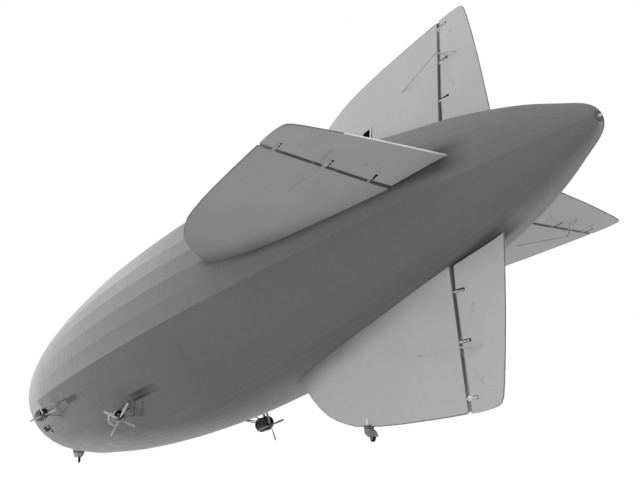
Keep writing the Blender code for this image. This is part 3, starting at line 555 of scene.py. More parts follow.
def tail_cloth(name, rear, fin_tone, surface_tone, front, root):
    """Doped cotton for one fin and its surface; rear is the station of the fin's rear spar."""
    mat, shader, tree = finish_of(name, fin_tone, TAIL_ROUGHNESS)
    shader.inputs["Specular IOR Level"].default_value = TAIL_SPECULAR
    place = put(tree, "TexCoord")["Object"]
    axes = put(tree, "SeparateXYZ", (place,))
    station = put(tree, "Math", (axes["X"], ORIGIN_STATION), operation="ADD")[0]
    up = put(tree, "Math", (axes["Z"],), operation="ABSOLUTE")[0]
    out = put(tree, "Math", (axes["Y"],), operation="ABSOLUTE")[0]
    radius = put(tree, "Math", (up, out), operation="MAXIMUM")[0]
    # ribs, blotches and weave
    rib = put(tree, "Math", (radius, RIB_PITCH / 2), operation="PINGPONG")[0]
    tape = put(tree, "MapRange", (rib, *TAPE_EDGE))[0]
    blotch = put(tree, "TexNoise", {"Vector": place, "Scale": BLOTCH, "Detail": 4.0})["Fac"]
    weave = put(tree, "TexNoise", {"Vector": place, "Scale": WEAVE, "Detail": 2.0})["Fac"]
    light = put(tree, "MapRange", (blotch, *NOISE, 0.97, 1.03))[0]
    light = put(tree, "Math", (light, tail_shade(tree, station, radius, front, root)), operation="SUBTRACT")[0]
    light = put(tree, "Math", (tape, TAPE_SHADE, light), operation="MULTIPLY_ADD")[0]
    # the fin's tone ahead of its rear spar, and the surface's behind it
    on_fin = put(tree, "Math", (station, rear - 0.01), operation="GREATER_THAN")[0]
    cloth = put(tree, "Mix", {0: on_fin, 6: surface_tone, 7: fin_tone}, data_type="RGBA")[2]
    cloth = put(tree, "VectorMath", {0: cloth, "Scale": light}, operation="SCALE")[0]
    cloth = hinge_gap_shade(tree, cloth, station, rear)
    sag = put(tree, "Math", (rib, SAG), operation="MULTIPLY")[0]
    height = put(tree, "Math", (weave, WEAVE_DEPTH, sag), operation="MULTIPLY_ADD")[0]
    relief = put(tree, "Bump", {"Height": height, "Strength": 0.5, "Distance": 1.0})[0]
    worn = put(tree, "MapRange", (blotch, *NOISE, 0.56, 0.68))[0]
    feed(tree, shader, {"Base Color": cloth, "Normal": relief, "Roughness": worn})
    return mat


print("a tape every", RIB_PITCH, "m")

# %% [markdown]
# ## The four tails
# Their tones are lit and shaded copies of one cloth: the port tail is darkest, in painted
# shade, and the starboard one lightest, in painted light. The ventral fin has the most painted
# shade at its root and the least at its front. The list could sit inside the function, but as
# a table the four can be compared at a glance.

# %% Tail finishes
TAIL_FINISHES = {
    # surface, station of the rear spar, tone of the fin, of the surface, painted shade in front, at the root
    "dorsal": ("rudder_upper", 1.745, "#b4b4b4", "#bababa", 0.20, 0.10),
    "port": ("elevator_port", 1.770, "#aaaaaa", "#b0b0b0", 0.26, 0.32),
    "ventral": ("rudder_lower", 1.755, "#bababa", "#bcbcbc", 0.06, 0.55),
    "starboard": ("elevator_starboard", 1.770, "#bebebe", "#bfbfbf", 0.10, 0.15),
}
TAILS = {tail: (surface, tail_cloth("doped_cotton_" + tail, *values))
         for tail, (surface, *values) in TAIL_FINISHES.items()}
print("tail cloths:", len(TAILS))

# %% [markdown]
# ## What the other finishes are
# The cars and frames are riveted duralumin sheet under silver paint, the forks are oiled
# steel, the engines are cast iron, and the propellers are varnished laminated wood. Each
# could have a node tree of its own, but what the eye gets is always a base tone, patches of
# dirt, a grain of a real size and a sheen, so a table can hold them all.

# %% Table of finishes
FINISHES = {
    # base, dirt, roughness, metallic, IOR, grain per metre along X, Y, Z, relief in metres
    # rolled sheet under silver paint: a satin grey with 40 mm dents between its rivets
    "silver_painted_duralumin": ("#a2a2a2", "#7c7c7b", 0.42, 0.0, 1.5, (26, 26, 26), 0.0004),
    # sheet under fresh pale paint: the brightest metal, which picks out hinge arms
    "pale_painted_duralumin": ("#d4d4d3", "#a9a9a8", 0.40, 0.0, 1.5, (30, 30, 30), 0.0003),
    # drawn tube under grey paint: a thin even line with 17 mm scuffs
    "grey_painted_tube": ("#8e8e8d", "#6c6c6b", 0.55, 0.0, 1.5, (60, 60, 60), 0.0002),
    # forged steel, wiped with oil: nearly black, with a short bright edge
    "oiled_steel": ("#3a3b3c", "#202020", 0.38, 0.9, 1.5, (70, 70, 70), 0.0003),
    # the car sheet darkened as painted shade, for the starboard cars that hang in the hull's shadow
    "shaded_duralumin": ("#454544", "#2e2e2d", 0.60, 0.0, 1.5, (26, 26, 26), 0.0004),
    # the same sheet in a darker, dull middle grey
    "dull_painted_duralumin": ("#707070", "#525251", 0.55, 0.0, 1.5, (26, 26, 26), 0.0003),
    # woven lagging tied round a pipe: quite matt, with an 8 mm weave, drawn coarse; it is pale as painted
    # light, so the pipes in the shade of hull and car read as light as the cloth
    "pale_lagging_painted_light": ("#b2b2b0", "#949492", 0.90, 0.0, 1.5, (120, 120, 120), 0.0010),
    # steel fittings under grey paint: darker than the cloth and without glare
    "dull_painted_steel": ("#6a6a69", "#4c4c4b", 0.55, 0.0, 1.5, (60, 60, 60), 0.0002),
    # sand-cast iron under paint: a rough skin of 7 mm grain, drawn coarse
    "painted_cast_iron": ("#7a7a79", "#555554", 0.65, 0.0, 1.5, (140, 140, 140), 0.0012),
    # planed wood under varnish: pale and glossy, with 9 mm laminations and grain along the blade
    "varnished_laminated_wood": ("#cdcdcb", "#b3b3b1", 0.28, 0.0, 1.5, (110, 14, 14), 0.0001),
    # the same wood darkened as painted shade, for the starboard propellers in the hull's shadow
    "shaded_laminated_wood": ("#8f8f8d", "#757573", 0.34, 0.0, 1.5, (110, 14, 14), 0.0001),
    # cotton tape in white dope: the brightest lines on the ship, painted highlights along edges that catch
    # the light
    "white_tape_painted_highlight": ("#f4f4f3", "#e2e2e0", 0.50, 0.0, 1.5, (80, 80, 80), 0.0002),
    # moulded and vulcanised rubber: black, dusty and matt
    "moulded_rubber": ("#171717", "#2a2a29", 0.80, 0.0, 1.52, (90, 90, 90), 0.0008),
    # black board as painted shade: it lines the cars, the hinge slots and the dorsal opening, where the shade
    # falls
    "black_lining_painted_shade": ("#1b1b1a", "#2d2c2b", 0.90, 0.0, 1.5, (50, 50, 50), 0.0010),
    # twisted zinc-coated wire: a dull metal line, its 6 mm lay drawn coarse
    "galvanised_wire_rope": ("#8d8e8e", "#6a6a69", 0.45, 0.7, 1.5, (160, 160, 160), 0.0003),
    # twisted hemp under white paint: a pale line against the dark hull
    "white_painted_rope": ("#c9c9c8", "#a6a6a5", 0.55, 0.0, 1.5, (160, 160, 160), 0.0003),
}
print("in the table:", len(FINISHES))

# %% [markdown]
# ## Metals, wood, rubber and board
# One function turns a row of the table into a finish. The grain could be the same in all
# directions, but wood is not, so the place is stretched by the row's three numbers before the
# noise is read. The same grain gives the relief and the roughness, as on real paint, which is
# duller where it is rough.

# %% Metals, wood, rubber and board
MATT_FROM, MATT_SPECULAR = 0.5, 0.12     # matt paint has no glare along it
DIRT_PATCH = 9.0                         # patches of dirt are 110 mm across
DIRT_SHARE = (0.16, 0.36)


def patterned(name, base, dirt, roughness, metallic, ior, grain, deep):
    """A finish with patches of dirt, a fine grain and a relief."""
    mat, shader, tree = finish_of(name, base, roughness, metallic, ior)
    if roughness >= MATT_FROM:
        shader.inputs["Specular IOR Level"].default_value = MATT_SPECULAR
    place = put(tree, "TexCoord")["Object"]
    fine = put(tree, "VectorMath", (place, grain), operation="MULTIPLY")[0]
    grit = put(tree, "TexNoise", {"Vector": fine, "Scale": 1.0, "Detail": 4.0})["Fac"]
    patch = put(tree, "TexNoise", {"Vector": place, "Scale": DIRT_PATCH, "Detail": 3.0})["Fac"]
    both = put(tree, "Math", (grit, patch), operation="MULTIPLY")[0]
    share = put(tree, "MapRange", (both, *DIRT_SHARE))[0]
    colour = put(tree, "Mix", {0: share, 6: base, 7: dirt}, data_type="RGBA")[2]
    rough = put(tree, "MapRange", (grit, *NOISE, roughness * 0.85, min(roughness * 1.2, 1.0)))[0]
    relief = put(tree, "Bump", {"Height": grit, "Strength": 0.5, "Distance": deep})[0]
    feed(tree, shader, {"Base Color": colour, "Roughness": rough, "Normal": relief})
    return mat


metals = {name: patterned(name, *values) for name, values in FINISHES.items()}
print("finishes:", len(metals))

# %% [markdown]
# ## Plate glass
# The windows are rolled and polished plate glass over a dark cabin. Clear glass with a cabin
# behind it would be nearest to the real thing, but from this far the eye gets a dark pane
# under a film of dust, and the dust kills the glare. So the pane is a dark surface whose tone
# and roughness follow the dust: its dark tone is painted shade, for the cabin behind the glass.

# %% Plate glass
DUST = 35.0                          # specks of dust in clouds of 30 mm
window_glass, shader, tree = finish_of("dusty_plate_glass", "#404345", 0.06, 0.0, 1.52)
shader.inputs["Specular IOR Level"].default_value = 0.0
dust = put(tree, "TexNoise", {"Vector": put(tree, "TexCoord")["Object"], "Scale": DUST, "Detail": 4.0})["Fac"]
haze = put(tree, "MapRange", (dust, 0.4, 0.7, 0.05, 0.28))[0]
tint = put(tree, "Mix", {0: dust, 6: "#36393a", 7: "#4c5052"}, data_type="RGBA")[2]
feed(tree, shader, {"Roughness": haze, "Base Color": tint})
print("plate glass nodes:", len(tree.nodes))

# %% [markdown]
# ## Lens of the stern light
# A small white light stands at the very stern, behind a lens of pressed glass with rings in
# it. The rings could be turned in the mesh, but they are a few millimetres apart, so a wave
# texture round the ship's axis gives them to the colour and the relief.

# %% Lens
LENS_RINGS, RING_DEPTH = 90.0, 0.0006    # a wave every 3.5 mm, and how deep it is in metres
ribbed_lens, shader, tree = finish_of("ribbed_pressed_glass", "#f0f0ee", 0.15, 0.0, 1.52)
shader.inputs["Transmission Weight"].default_value = 0.35
place = put(tree, "TexCoord")["Object"]
rings = put(tree, "TexWave", {"Vector": place, "Scale": LENS_RINGS},
            wave_type="RINGS", rings_direction="X")["Fac"]
tint = put(tree, "Mix", {0: rings, 6: "#e2e2e0", 7: "#fafaf8"}, data_type="RGBA")[2]
relief = put(tree, "Bump", {"Height": rings, "Strength": 0.6, "Distance": RING_DEPTH})[0]
feed(tree, shader, {"Base Color": tint, "Normal": relief})
print("lens nodes:", len(tree.nodes))

# %% [markdown]
# ## Finishes on the CAD nodes
# Most solids keep their shape and only get a finish, from the table of their material slots
# or from one of their own. The load splits their corners, so they are welded again, and only
# edges sharper than 28 degrees stay sharp: a turned car body then reads as one curve. More
# faces would do the same, but the solids' meshes aren't changed.

# %% Dress the nodes
SHARP = math.radians(28.0)
WELD = 1e-5
SLOT_FINISH = {
    "painted_alloy": metals["silver_painted_duralumin"], "dark_steel": metals["oiled_steel"],
    "engine_iron": metals["painted_cast_iron"], "varnished_blade": metals["varnished_laminated_wood"],
    "tyre_rubber": metals["moulded_rubber"], "window_glass": window_glass,
    "lamp_lens": ribbed_lens, "doped_fabric": doped_cotton_hull,
}
OWN_FINISH = {
    # starts of node names: the first that fits is taken, so the longer names come first
    # the starboard cars and their struts take darker finishes as painted shade: they hang in the hull's
    # shadow
    "car_struts_aft_starboard": metals["dull_painted_steel"],
    "engine_car_aft_starboard": metals["shaded_duralumin"],
    "car_struts_forward_starboard": metals["dull_painted_steel"],
    "engine_car_forward_starboard": metals["shaded_duralumin"],
    "tail_lamp_ring": metals["dull_painted_steel"],
    "tail_wheel_leg": metals["dull_painted_steel"],
    # the forward exhausts are pale as painted light
    "engine_forward": metals["pale_lagging_painted_light"],
    "engine_car_forward_port": metals["dull_painted_duralumin"],
    "car_struts_forward_port": doped_cotton_hull,
    "car_struts": metals["grey_painted_tube"],
    "hinge_post": metals["pale_painted_duralumin"],
}
for tail, (surface, cloth) in TAILS.items():
    OWN_FINISH["fin_" + tail] = cloth
    OWN_FINISH[surface] = cloth


def dress(node, obj):
    """Gives a node its finish and smooth curves."""
    slot_name = obj.data.materials[0].name.split(".")[0]
    found = [mat for start, mat in OWN_FINISH.items() if node.startswith(start)]
    obj.data.materials[0] = found[0] if found else SLOT_FINISH[slot_name]
    obj.data.shade_smooth()
    weld = obj.modifiers.new("weld", "WELD")
    weld.merge_threshold = WELD
    split = obj.modifiers.new("sharp", "EDGE_SPLIT")
    split.split_angle = SHARP
    obj.modifiers.new("even", "WEIGHTED_NORMAL")


for node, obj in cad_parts.items():
    dress(node, obj)
print("nodes dressed:", len(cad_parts))

# %% [markdown]
# ## From rings to a piece
# Most pieces below are built as a boat's hull is lofted: a row of outlines, joined one to
# the next. Blender's own cylinders could be bent into shape, but outlines in code stay
# exact. Three helpers do it: the angles of a circle, the faces between rings, and the step
# from a mesh to a piece that rides on a body.

# %% Mesh helpers
def circle(sides):
    """Angles of the points round a circle."""
    return [2 * math.pi * k / sides for k in range(sides)]


def loft(bm, rings, closed=False):
    """Faces between each ring and the next, and back to the first one if closed."""
    for first, second in zip(rings, rings[1:] + (rings[:1] if closed else [])):
        for i in range(len(first)):
            n = (i + 1) % len(first)
            bm.faces.new((first[i], first[n], second[n], second[i]))


def add_piece(name, bm, mat, body, smooth=True):
    """Turns a mesh in code into a piece that rides on a body."""
    mesh = bpy.data.meshes.new(name)
    bmesh.ops.recalc_face_normals(bm, faces=bm.faces)
    for face in bm.faces:
        face.smooth = smooth
    bm.to_mesh(mesh)
    bm.free()
    obj = bpy.data.objects.new(name, mesh)
    bpy.context.scene.collection.objects.link(obj)
    mesh.materials.append(mat)
    if body:
        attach(obj, body)
    return obj


print("a circle of 8 turns by", round(math.degrees(circle(8)[1])), "degrees a side")

# %% [markdown]
# ## The grid of the hull's skin
# The solid is a plain 36-sided tube. On the real ship the cloth lies flat between straight
# girders and dips a little between the rings. A displaced texture could fake the dips; a grid
# of points makes them real shape. Its rows are closer together at the ends, where the hull
# curves most, and its columns follow the edges of the promenade windows.

# %% Skin grid
DECK = (16.57, 18.35, -47.0, -40.6)  # stations and degrees of the opening for the windows
DECK_PANELS = (-50, -140)            # the panels that it lies in, port and starboard


def skin_stations():
    """Stations of the grid's rows."""
    ends = [0.016, 0.03, 0.05, 0.08, 0.11, 0.15, 0.20, 0.26, 0.33, 0.42, 0.51]
    middle = [round(0.6 + 0.125 * i, 4) for i in range(186)]
    tip = [23.85, 23.95, 24.05, 24.13, 24.20, 24.26, 24.32, 24.37, 24.41, 24.435, 24.455]
    return sorted(set(ends + [v for v in middle if v < 23.8] + tip + list(DECK[:2])))


def skin_angles():
    """Angles of the grid's columns: each panel in four strips, with the windows' edges."""
    angles = []
    for panel_start in range(-180, 180, 10):
        strips = [0.0, 2.5, 5.0, 7.5]
        if panel_start in DECK_PANELS:
            edge, other = (DECK[2] + 50, DECK[3] + 50) if panel_start == DECK_PANELS[0] else (0.6, 7.0)
            strips = sorted([0.0, 5.0, edge, other])
        angles += [panel_start + v for v in strips]
    return angles


def is_deck(station, degrees):
    """Whether a grid cell that starts here is open for the promenade windows."""
    port = DECK[2] - 0.01 < degrees < DECK[3] - 0.01
    starboard = -180 - DECK[3] - 0.01 < degrees < -180 - DECK[2] - 0.01
    return DECK[0] - 0.001 < station < DECK[1] - 0.001 and (port or starboard)


print("grid:", len(skin_stations()), "rows of", len(skin_angles()))

# %% [markdown]
# ## How the cloth lies
# Between two girders and two rings the cloth dips by a few millimetres. Over the upper bow
# the sun shows no girders: the cloth is pulled round over them. Two grids could be joined
# there, but one is simpler, in which the dip gives way to a round swell along 5.5 m.

# %% Cloth between the girders
DIP = 0.0025                         # how deep the cloth lies in the middle of a bay
BAY = 0.5                            # rings stand 5 m apart on the real ship
FIRST_RING = 0.1
ROUND_FROM, ROUND_OVER = 10.5, 5.5   # the cloth grows rounder over the upper girders along this length


def is_upper(degrees):
    """Whether an angle lies on the upper part, where the girders show."""
    return degrees >= -20 or degrees <= -160


def skin_point(station, degrees):
    """A point of the skin, dipped between the girders and between the rings."""
    u = (degrees % 10.0) / 10.0
    v = ((station - FIRST_RING) / BAY) % 1.0
    dip = DIP * 4 * u * (1 - u) * (0.45 + 0.55 * 4 * v * (1 - v)) * min(hull_radius(station), 1.0)
    round_off = min(max((station - ROUND_FROM) / ROUND_OVER, 0.0), 1.0) if is_upper(degrees) else 0.0
    bulge = hull_radius(station) * (1 - math.cos(PANEL / 2) / math.cos(PANEL * (u - 0.5)))
    return on_hull(station, degrees, round_off * bulge - (1 - round_off) * dip)


print("dip amidships:", round(DIP * 1000, 1), "mm")

# %% [markdown]
# ## The skin
# The grid becomes one closed skin with a wall of 10 mm, open where the promenade windows are
# and with a pocket for the stern light. The girder lines above the widest girders stay sharp
# up to the bow, and only the lowest of them runs on to the nose. Below them the cloth turns
# softly over each girder, which smooth shading does by itself.

# %% Hull skin
SHARP_TO = 15.4                      # ahead of this station no upper girder shows
LOWEST_SHARP = (-20, -160)           # but these two run on to the nose
TAIL_POCKET = [(0.017, 0.0431), (0.045, 0.0431)]    # station and radius: round the stern light
WALL = 0.010


def build_skin():
    """The skin's grid with its closed tail and nose."""
    bm = bmesh.new()
    angles = skin_angles()
    stations = skin_stations()
    rows = [[bm.verts.new(skin_point(s, a)) for a in angles] for s in stations]
    for s, first, second in zip(stations, rows[:-1], rows[1:]):
        for i, a in enumerate(angles):
            n = (i + 1) % len(angles)
            if not is_deck(s, a):
                bm.faces.new((first[i], first[n], second[n], second[i]))
    for i, a in enumerate(angles):
        if a % 10 == 0 and is_upper(a):
            reach = PROFILE[-1, 0] if a in LOWEST_SHARP else SHARP_TO
            for s, first, second in zip(stations, rows[:-1], rows[1:]):
                edge = bm.edges.get((first[i], second[i]))
                if edge and s < reach:
                    edge.smooth = False
    pocket = [rows[0]]
    for s, r in TAIL_POCKET:
        pocket.append([bm.verts.new((s - ORIGIN_STATION, r * math.cos(math.radians(a)),
                                     r * math.sin(math.radians(a)))) for a in angles])
    loft(bm, pocket)
    bm.faces.new(pocket[-1])
    bm.faces.new(rows[-1])
    return bm


skin = add_piece("hull_skin", build_skin(), doped_cotton_hull, "hull")
wall = skin.modifiers.new("wall", "SOLIDIFY")
wall.thickness = WALL
wall.offset = -1.0
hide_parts("hull_envelope", "tail_cap", "nose_cap")
print("skin faces:", len(skin.data.polygons))

# %% [markdown]
# ## Promenade windows
# Slanted windows light the promenade deck, and a single light stands below them at the
# stairs. The solid frame is 13 mm deep, as it must be to be made; seen along the hull it hides
# its own glass. The real glass lies flush in the cloth, so it is drawn that way here: a
# doped panel fills the opening, and each dark pane lies on it.

# %% Promenade windows: plates and band
WINDOWS = 7                                              # in each of two rows
BAND = ((16.60, -44.3, -40.9), (18.32, -46.7, -41.9))    # station, lowest and highest degrees of the band
BAR, CROSSBAR = 0.026, 0.36                              # metres along the ship, degrees between the rows
STAIR_LIGHT = [(16.70, -48.7), (16.90, -48.7), (16.90, -45.3), (16.70, -45.3)]


def hull_plate(bm, corners, starboard, low, high):
    """A closed flat plate within one panel of the hull, between two distances from the cloth."""
    rings = []
    for proud in (low, high):
        rings.append([bm.verts.new(on_hull(s, on_side(a, starboard), proud)) for s, a in corners])
        bm.faces.new(rings[-1])
    loft(bm, rings)


def in_band(station, share):
    """Degrees at a share of the way up the window band."""
    stations = (BAND[0][0], BAND[1][0])
    low, high = [float(np.interp(station, stations, (BAND[0][k], BAND[1][k]))) for k in (1, 2)]
    return low + share * (high - low)


print("windows' pitch:", round((BAND[1][0] - BAND[0][0]) / WINDOWS, 3), "m")

# %% [markdown]
# ## Panes and panel
# The bars between the panes could be strips of their own, but at this size they are only the
# panel showing between two panes. So the panes are laid on it with gaps as wide as the bars.

# %% Promenade windows: panes and panel
PANEL_GAP, PANEL_GAP_DEGREES = 0.006, 0.12               # between the panel and the edge of its opening
PANEL_FROM, PANEL_TO = -0.0040, -0.0002                  # distances from the cloth
PANE_FROM, PANE_TO = -0.0010, 0.0006
STAIR_FROM, STAIR_TO = -0.0020, 0.0010


def build_windows(starboard):
    """The panes and the doped panel round them, on one side."""
    panes, panel_plate = bmesh.new(), bmesh.new()
    s0, s1 = DECK[0] + PANEL_GAP, DECK[1] - PANEL_GAP
    a0, a1 = DECK[2] + PANEL_GAP_DEGREES, DECK[3] - PANEL_GAP_DEGREES
    hull_plate(panel_plate, [(s0, a0), (s1, a0), (s1, a1), (s0, a1)], starboard, PANEL_FROM, PANEL_TO)
    pitch = (BAND[1][0] - BAND[0][0]) / WINDOWS
    for i in range(WINDOWS):
        aft, ahead = BAND[0][0] + pitch * i + BAR / 2, BAND[0][0] + pitch * (i + 1) - BAR / 2
        gap = CROSSBAR / 2 / (in_band(aft, 1.0) - in_band(aft, 0.0))
        for low, high in ((0.0, 0.5 - gap), (0.5 + gap, 1.0)):
            corners = [(aft, in_band(aft, low)), (ahead, in_band(ahead, low)),
                       (ahead, in_band(ahead, high)), (aft, in_band(aft, high))]
            hull_plate(panes, corners, starboard, PANE_FROM, PANE_TO)
    hull_plate(panes, STAIR_LIGHT, starboard, STAIR_FROM, STAIR_TO)
    return panes, panel_plate


for side_name in ("port", "starboard"):
    panes, panel_plate = build_windows(side_name == "starboard")
    panes = add_piece("promenade_panes_" + side_name, panes, window_glass, "hull",
                      smooth=False)
    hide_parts("promenade_glazing_" + side_name)
    panel_plate = add_piece("promenade_panel_" + side_name, panel_plate, doped_cotton_hull, "hull",
                            smooth=False)
    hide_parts("promenade_frame_" + side_name)
print("promenade windows:", 2 * WINDOWS, "a side")

# %% [markdown]
# ## Tubes
# Wires, ropes, edge tubes and rails are all tubes along a line. A curve with a bevel would
# draw one, but its ends stay open and it can't be thinned to a chosen radius at one end
# as simply. So rings are carried along the line, each turned as little as possible from the
# last, and both ends are closed.

# %% Tubes
def tube_mesh(points, radius, sides=8, steps=1, taper=1.0):
    """A closed tube along points, each span cut into steps; taper is the last radius over the first."""
    path = [Vector(points[0])]
    for a, b in zip(points[:-1], points[1:]):
        path += [Vector(a).lerp(Vector(b), (k + 1) / steps) for k in range(steps)]
    bm = bmesh.new()
    rings = []
    for i, point in enumerate(path):
        way = (path[min(i + 1, len(path) - 1)] - path[max(i - 1, 0)]).normalized()
        across = way.orthogonal().normalized() if not rings else (across - way * across.dot(way)).normalized()
        other = way.cross(across)
        r = radius * (1 + (taper - 1) * i / (len(path) - 1))
        rings.append([bm.verts.new(point + r * (math.cos(a) * across + math.sin(a) * other))
                      for a in circle(sides)])
    loft(bm, rings)
    bm.faces.new(rings[0][::-1])
    bm.faces.new(rings[-1])
    return bm


sample = tube_mesh([(0, 0, 0), (0, 0, 1)], 0.01)
print("a plain tube has", len(sample.faces), "faces")
sample.free()

# %% [markdown]
# ## Places on the tail
# The four tails are alike, turned by 90 degrees about the ship's axis. Each could be drawn
# four times, but one layout is enough: a point is given for the dorsal fin and turned. Where
# a wire or an arm meets the cloth, a ray from outside finds the cloth.

# %% Places on the tail
TURNS = {"dorsal": (0, 1.625), "port": (-90, 1.650),     # degrees, station of the horns
         "ventral": (180, 1.635), "starboard": (90, 1.650)}
NO_CLOTH = 0.1                                           # used where a ray meets nothing


def on_tail(degrees, station, out, radius):
    """A point of the dorsal fin's layout, turned to one of the four fins."""
    a = math.radians(degrees)
    y = out * math.cos(a) - radius * math.sin(a)
    return Vector((station - ORIGIN_STATION, y, out * math.sin(a) + radius * math.cos(a)))


def cloth_out(node, degrees, station, radius, face):
    """How far a fin's cloth stands from its middle, found by a ray from outside."""
    start = on_tail(degrees, station, face * 0.6, radius)
    middle = on_tail(degrees, station, 0.0, radius)
    hit, where, _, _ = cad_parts[node].ray_cast(start, middle - start)
    return (where - middle).length if hit else NO_CLOTH


print("dorsal fin, half thickness at mid span:", round(cloth_out("fin_dorsal", 0, 2.9, 1.6, 1), 3))

# %% [markdown]
# ## Control wires
# Each rudder and elevator has a horn on both faces. Two wires brace the horn's tip to its own
# surface, and one runs forward to the fin. A wire could be a line without thickness, but then
# it would have no mesh to show, so each is a thin tube. The forward one spans the hinge, so it
# rides on neither body; it is cut into steps along its length.

# %% Wires
WIRE_R, BRACE_R = 0.0026, 0.0015     # 52 and 30 mm thick on the real ship: drawn coarse, to show
WIRE_STEPS = 12
HORN_TIP = (0.175, 1.575)            # out from the surface, and from the ship's axis
FIN_END = (2.35, 1.54)               # station, and from the ship's axis
OWN_ENDS = [(1.52, 1.895), (1.52, 1.16)]
ZINC, PALE = metals["galvanised_wire_rope"], metals["white_painted_rope"]
WIRE_FINISH = {"dorsal": (ZINC, PALE), "port": (PALE, PALE),      # the control wire, its braces
               "ventral": (PALE, PALE), "starboard": (ZINC, ZINC)}


def build_wires(tail, degrees, horn, face):
    """The wires of one horn."""
    surface = TAILS[tail][0]
    label = f"{tail}_{'left' if face > 0 else 'right'}"
    wire_finish, brace_finish = WIRE_FINISH[tail]
    tip = on_tail(degrees, horn, face * HORN_TIP[0], HORN_TIP[1])
    for number, (station, radius) in enumerate(OWN_ENDS):
        out = cloth_out(surface, degrees, station, radius, face)
        end = on_tail(degrees, station, face * out, radius)
        add_piece(f"brace_{label}_{number}", tube_mesh([tip, end], BRACE_R), brace_finish, surface)
    out = cloth_out("fin_" + tail, degrees, *FIN_END, face)
    end = on_tail(degrees, FIN_END[0], face * out, FIN_END[1])
    wire = add_piece(f"control_wire_{label}", tube_mesh([end, tip], WIRE_R, steps=WIRE_STEPS), wire_finish,
                     None)
    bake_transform(wire)
    return (end - tip).length


for tail, (degrees, horn) in TURNS.items():
    lengths = [build_wires(tail, degrees, horn, face) for face in (1, -1)]
    print(tail, "control wires:", [round(v, 3) for v in lengths])

# %% [markdown]
# ## Edges of the tail
# A bent tube closes the cloth along the front and the tip of each fin, and round the rear and
# the tip of each rudder and elevator. It gives the outlines their thin bright or dark line; its
# grey, darker than the cloth, is painted shade along them. A bevel on the solid would be rounder
# but not thinner, so a tube is laid along the edge. The port elevator's rear edge has a white
# tape over its tube, which runs out towards the tip: a painted highlight, where that edge
# catches the light.

# %% Tail edges
FIN_EDGE = [(1.77, 2.132), (1.95, 2.140), (2.30, 2.150), (2.75, 2.158), (3.10, 2.155), (3.40, 2.142),
            (3.60, 2.125), (3.80, 2.085), (4.00, 2.035), (4.20, 1.965), (4.40, 1.860), (4.60, 1.725),
            (4.75, 1.600), (4.85, 1.470)]                # station, from the ship's axis
REAR_EDGE = [(0.0, 1.110), (0.20, 1.145), (0.45, 1.190), (0.70, 1.245), (0.88, 1.292),
             (0.955, 1.318), (0.985, 1.345), (1.0, 1.390)]    # share of the span, station
TIP_EDGE = [(1.50, 2.116), (1.60, 2.126), (1.69, 2.130)]      # station, from the ship's axis
ROOT_GAP, TIP_RADIUS = 0.018, 2.097
BEHIND, INSIDE = 0.002, 0.004        # the tube's middle lies just behind and just inside the edge
EDGE_R = 0.0060
TAPE_OVER, TAPE_POINTS, TAPE_TAPER = 0.0028, 5, 0.55


def rear_edge():
    """Station and radius of points round the rear and the tip of a surface."""
    points = []
    for share, station in REAR_EDGE:
        root = hull_radius(station) + ROOT_GAP
        points.append((station + BEHIND, root + share * (TIP_RADIUS - root)))
    return points + TIP_EDGE


for tail, (degrees, _) in TURNS.items():
    for body, path in (("hull", FIN_EDGE), (TAILS[tail][0], rear_edge())):
        points = [on_tail(degrees, station, 0.0, radius - INSIDE) for station, radius in path]
        add_piece(f"edge_{tail}_{body}", tube_mesh(points, EDGE_R), metals["grey_painted_tube"], body)
        if body == "elevator_port":
            tape = tube_mesh(points[:TAPE_POINTS], EDGE_R + TAPE_OVER, taper=TAPE_TAPER)
            add_piece("edge_tape_port", tape, metals["white_tape_painted_highlight"], body)
print("edge tubes:", 2 * len(TURNS))

# %% [markdown]
# ## Flat plates on the tail
# Hinge arms, the linings of their slots and the strips in the gap are all cut from flat
# sheet, and lie square to the fin's span. Scaled cubes could stand for them, but their
# outlines taper with the fin. So each plate is an outline of stations and distances out,
# carried between two radii, and its edges are rounded where the sheet is thick.

# %% Plates
BEVEL = 0.0012


def both_ways(side):
    """Corners on one face of a surface, carried round to the other."""
    return side + [(s, -y) for s, y in side[::-1]]


def plates_mesh(plates, degrees, bevel=BEVEL):
    """Flat plates, each from corners given as station and distance out, and two radii."""
    bm = bmesh.new()
    for corners, low, high in plates:
        sides = [[bm.verts.new(on_tail(degrees, s, y, r)) for s, y in corners] for r in (low, high)]
        bm.faces.new(sides[0][::-1])
        bm.faces.new(sides[1])
        loft(bm, sides)
    if bevel:
        bmesh.ops.bevel(bm, geom=bm.edges[:], offset=bevel, segments=2, profile=0.5, affect="EDGES")
    return bm


print("edges rounded by", BEVEL * 1000, "mm")

# %% [markdown]
# ## Hinge arms
# Each hinge arm is a flanged plate that reaches from the fin's rear spar into the surface's
# slot. The solid arm is a thin blade, as it must be to turn in its slot; the plate over it is
# as wide as the slot is deep, which is what one sees. It could be one size for all twelve,
# but the fin grows thinner towards its tip, so the plate's corners are measured off the
# cloth. A strip of stiffened cloth closes the gap beyond the last arm.

# %% Arms
ARMS = {"dorsal": (1.745, (1.08, 1.57, 2.03)),           # station of the rear spar, radii of the arms
        "port": (1.770, (1.00, 1.47, 1.985)),
        "ventral": (1.755, (1.02, 1.495, 2.00)),
        "starboard": (1.770, (1.00, 1.47, 1.985))}
ARM_HALF = 0.0075                    # half the plate's width along the span
ARM_SHARE = 0.92                     # of the cloth's thickness
SLOT_WALL = (0.0130, 0.0157)         # the lining, from the arm's middle
STRIP_HALF, STRIP_BACK, STRIP_TIP = 0.004, 0.028, 2.118    # half thickness, width, end from the axis


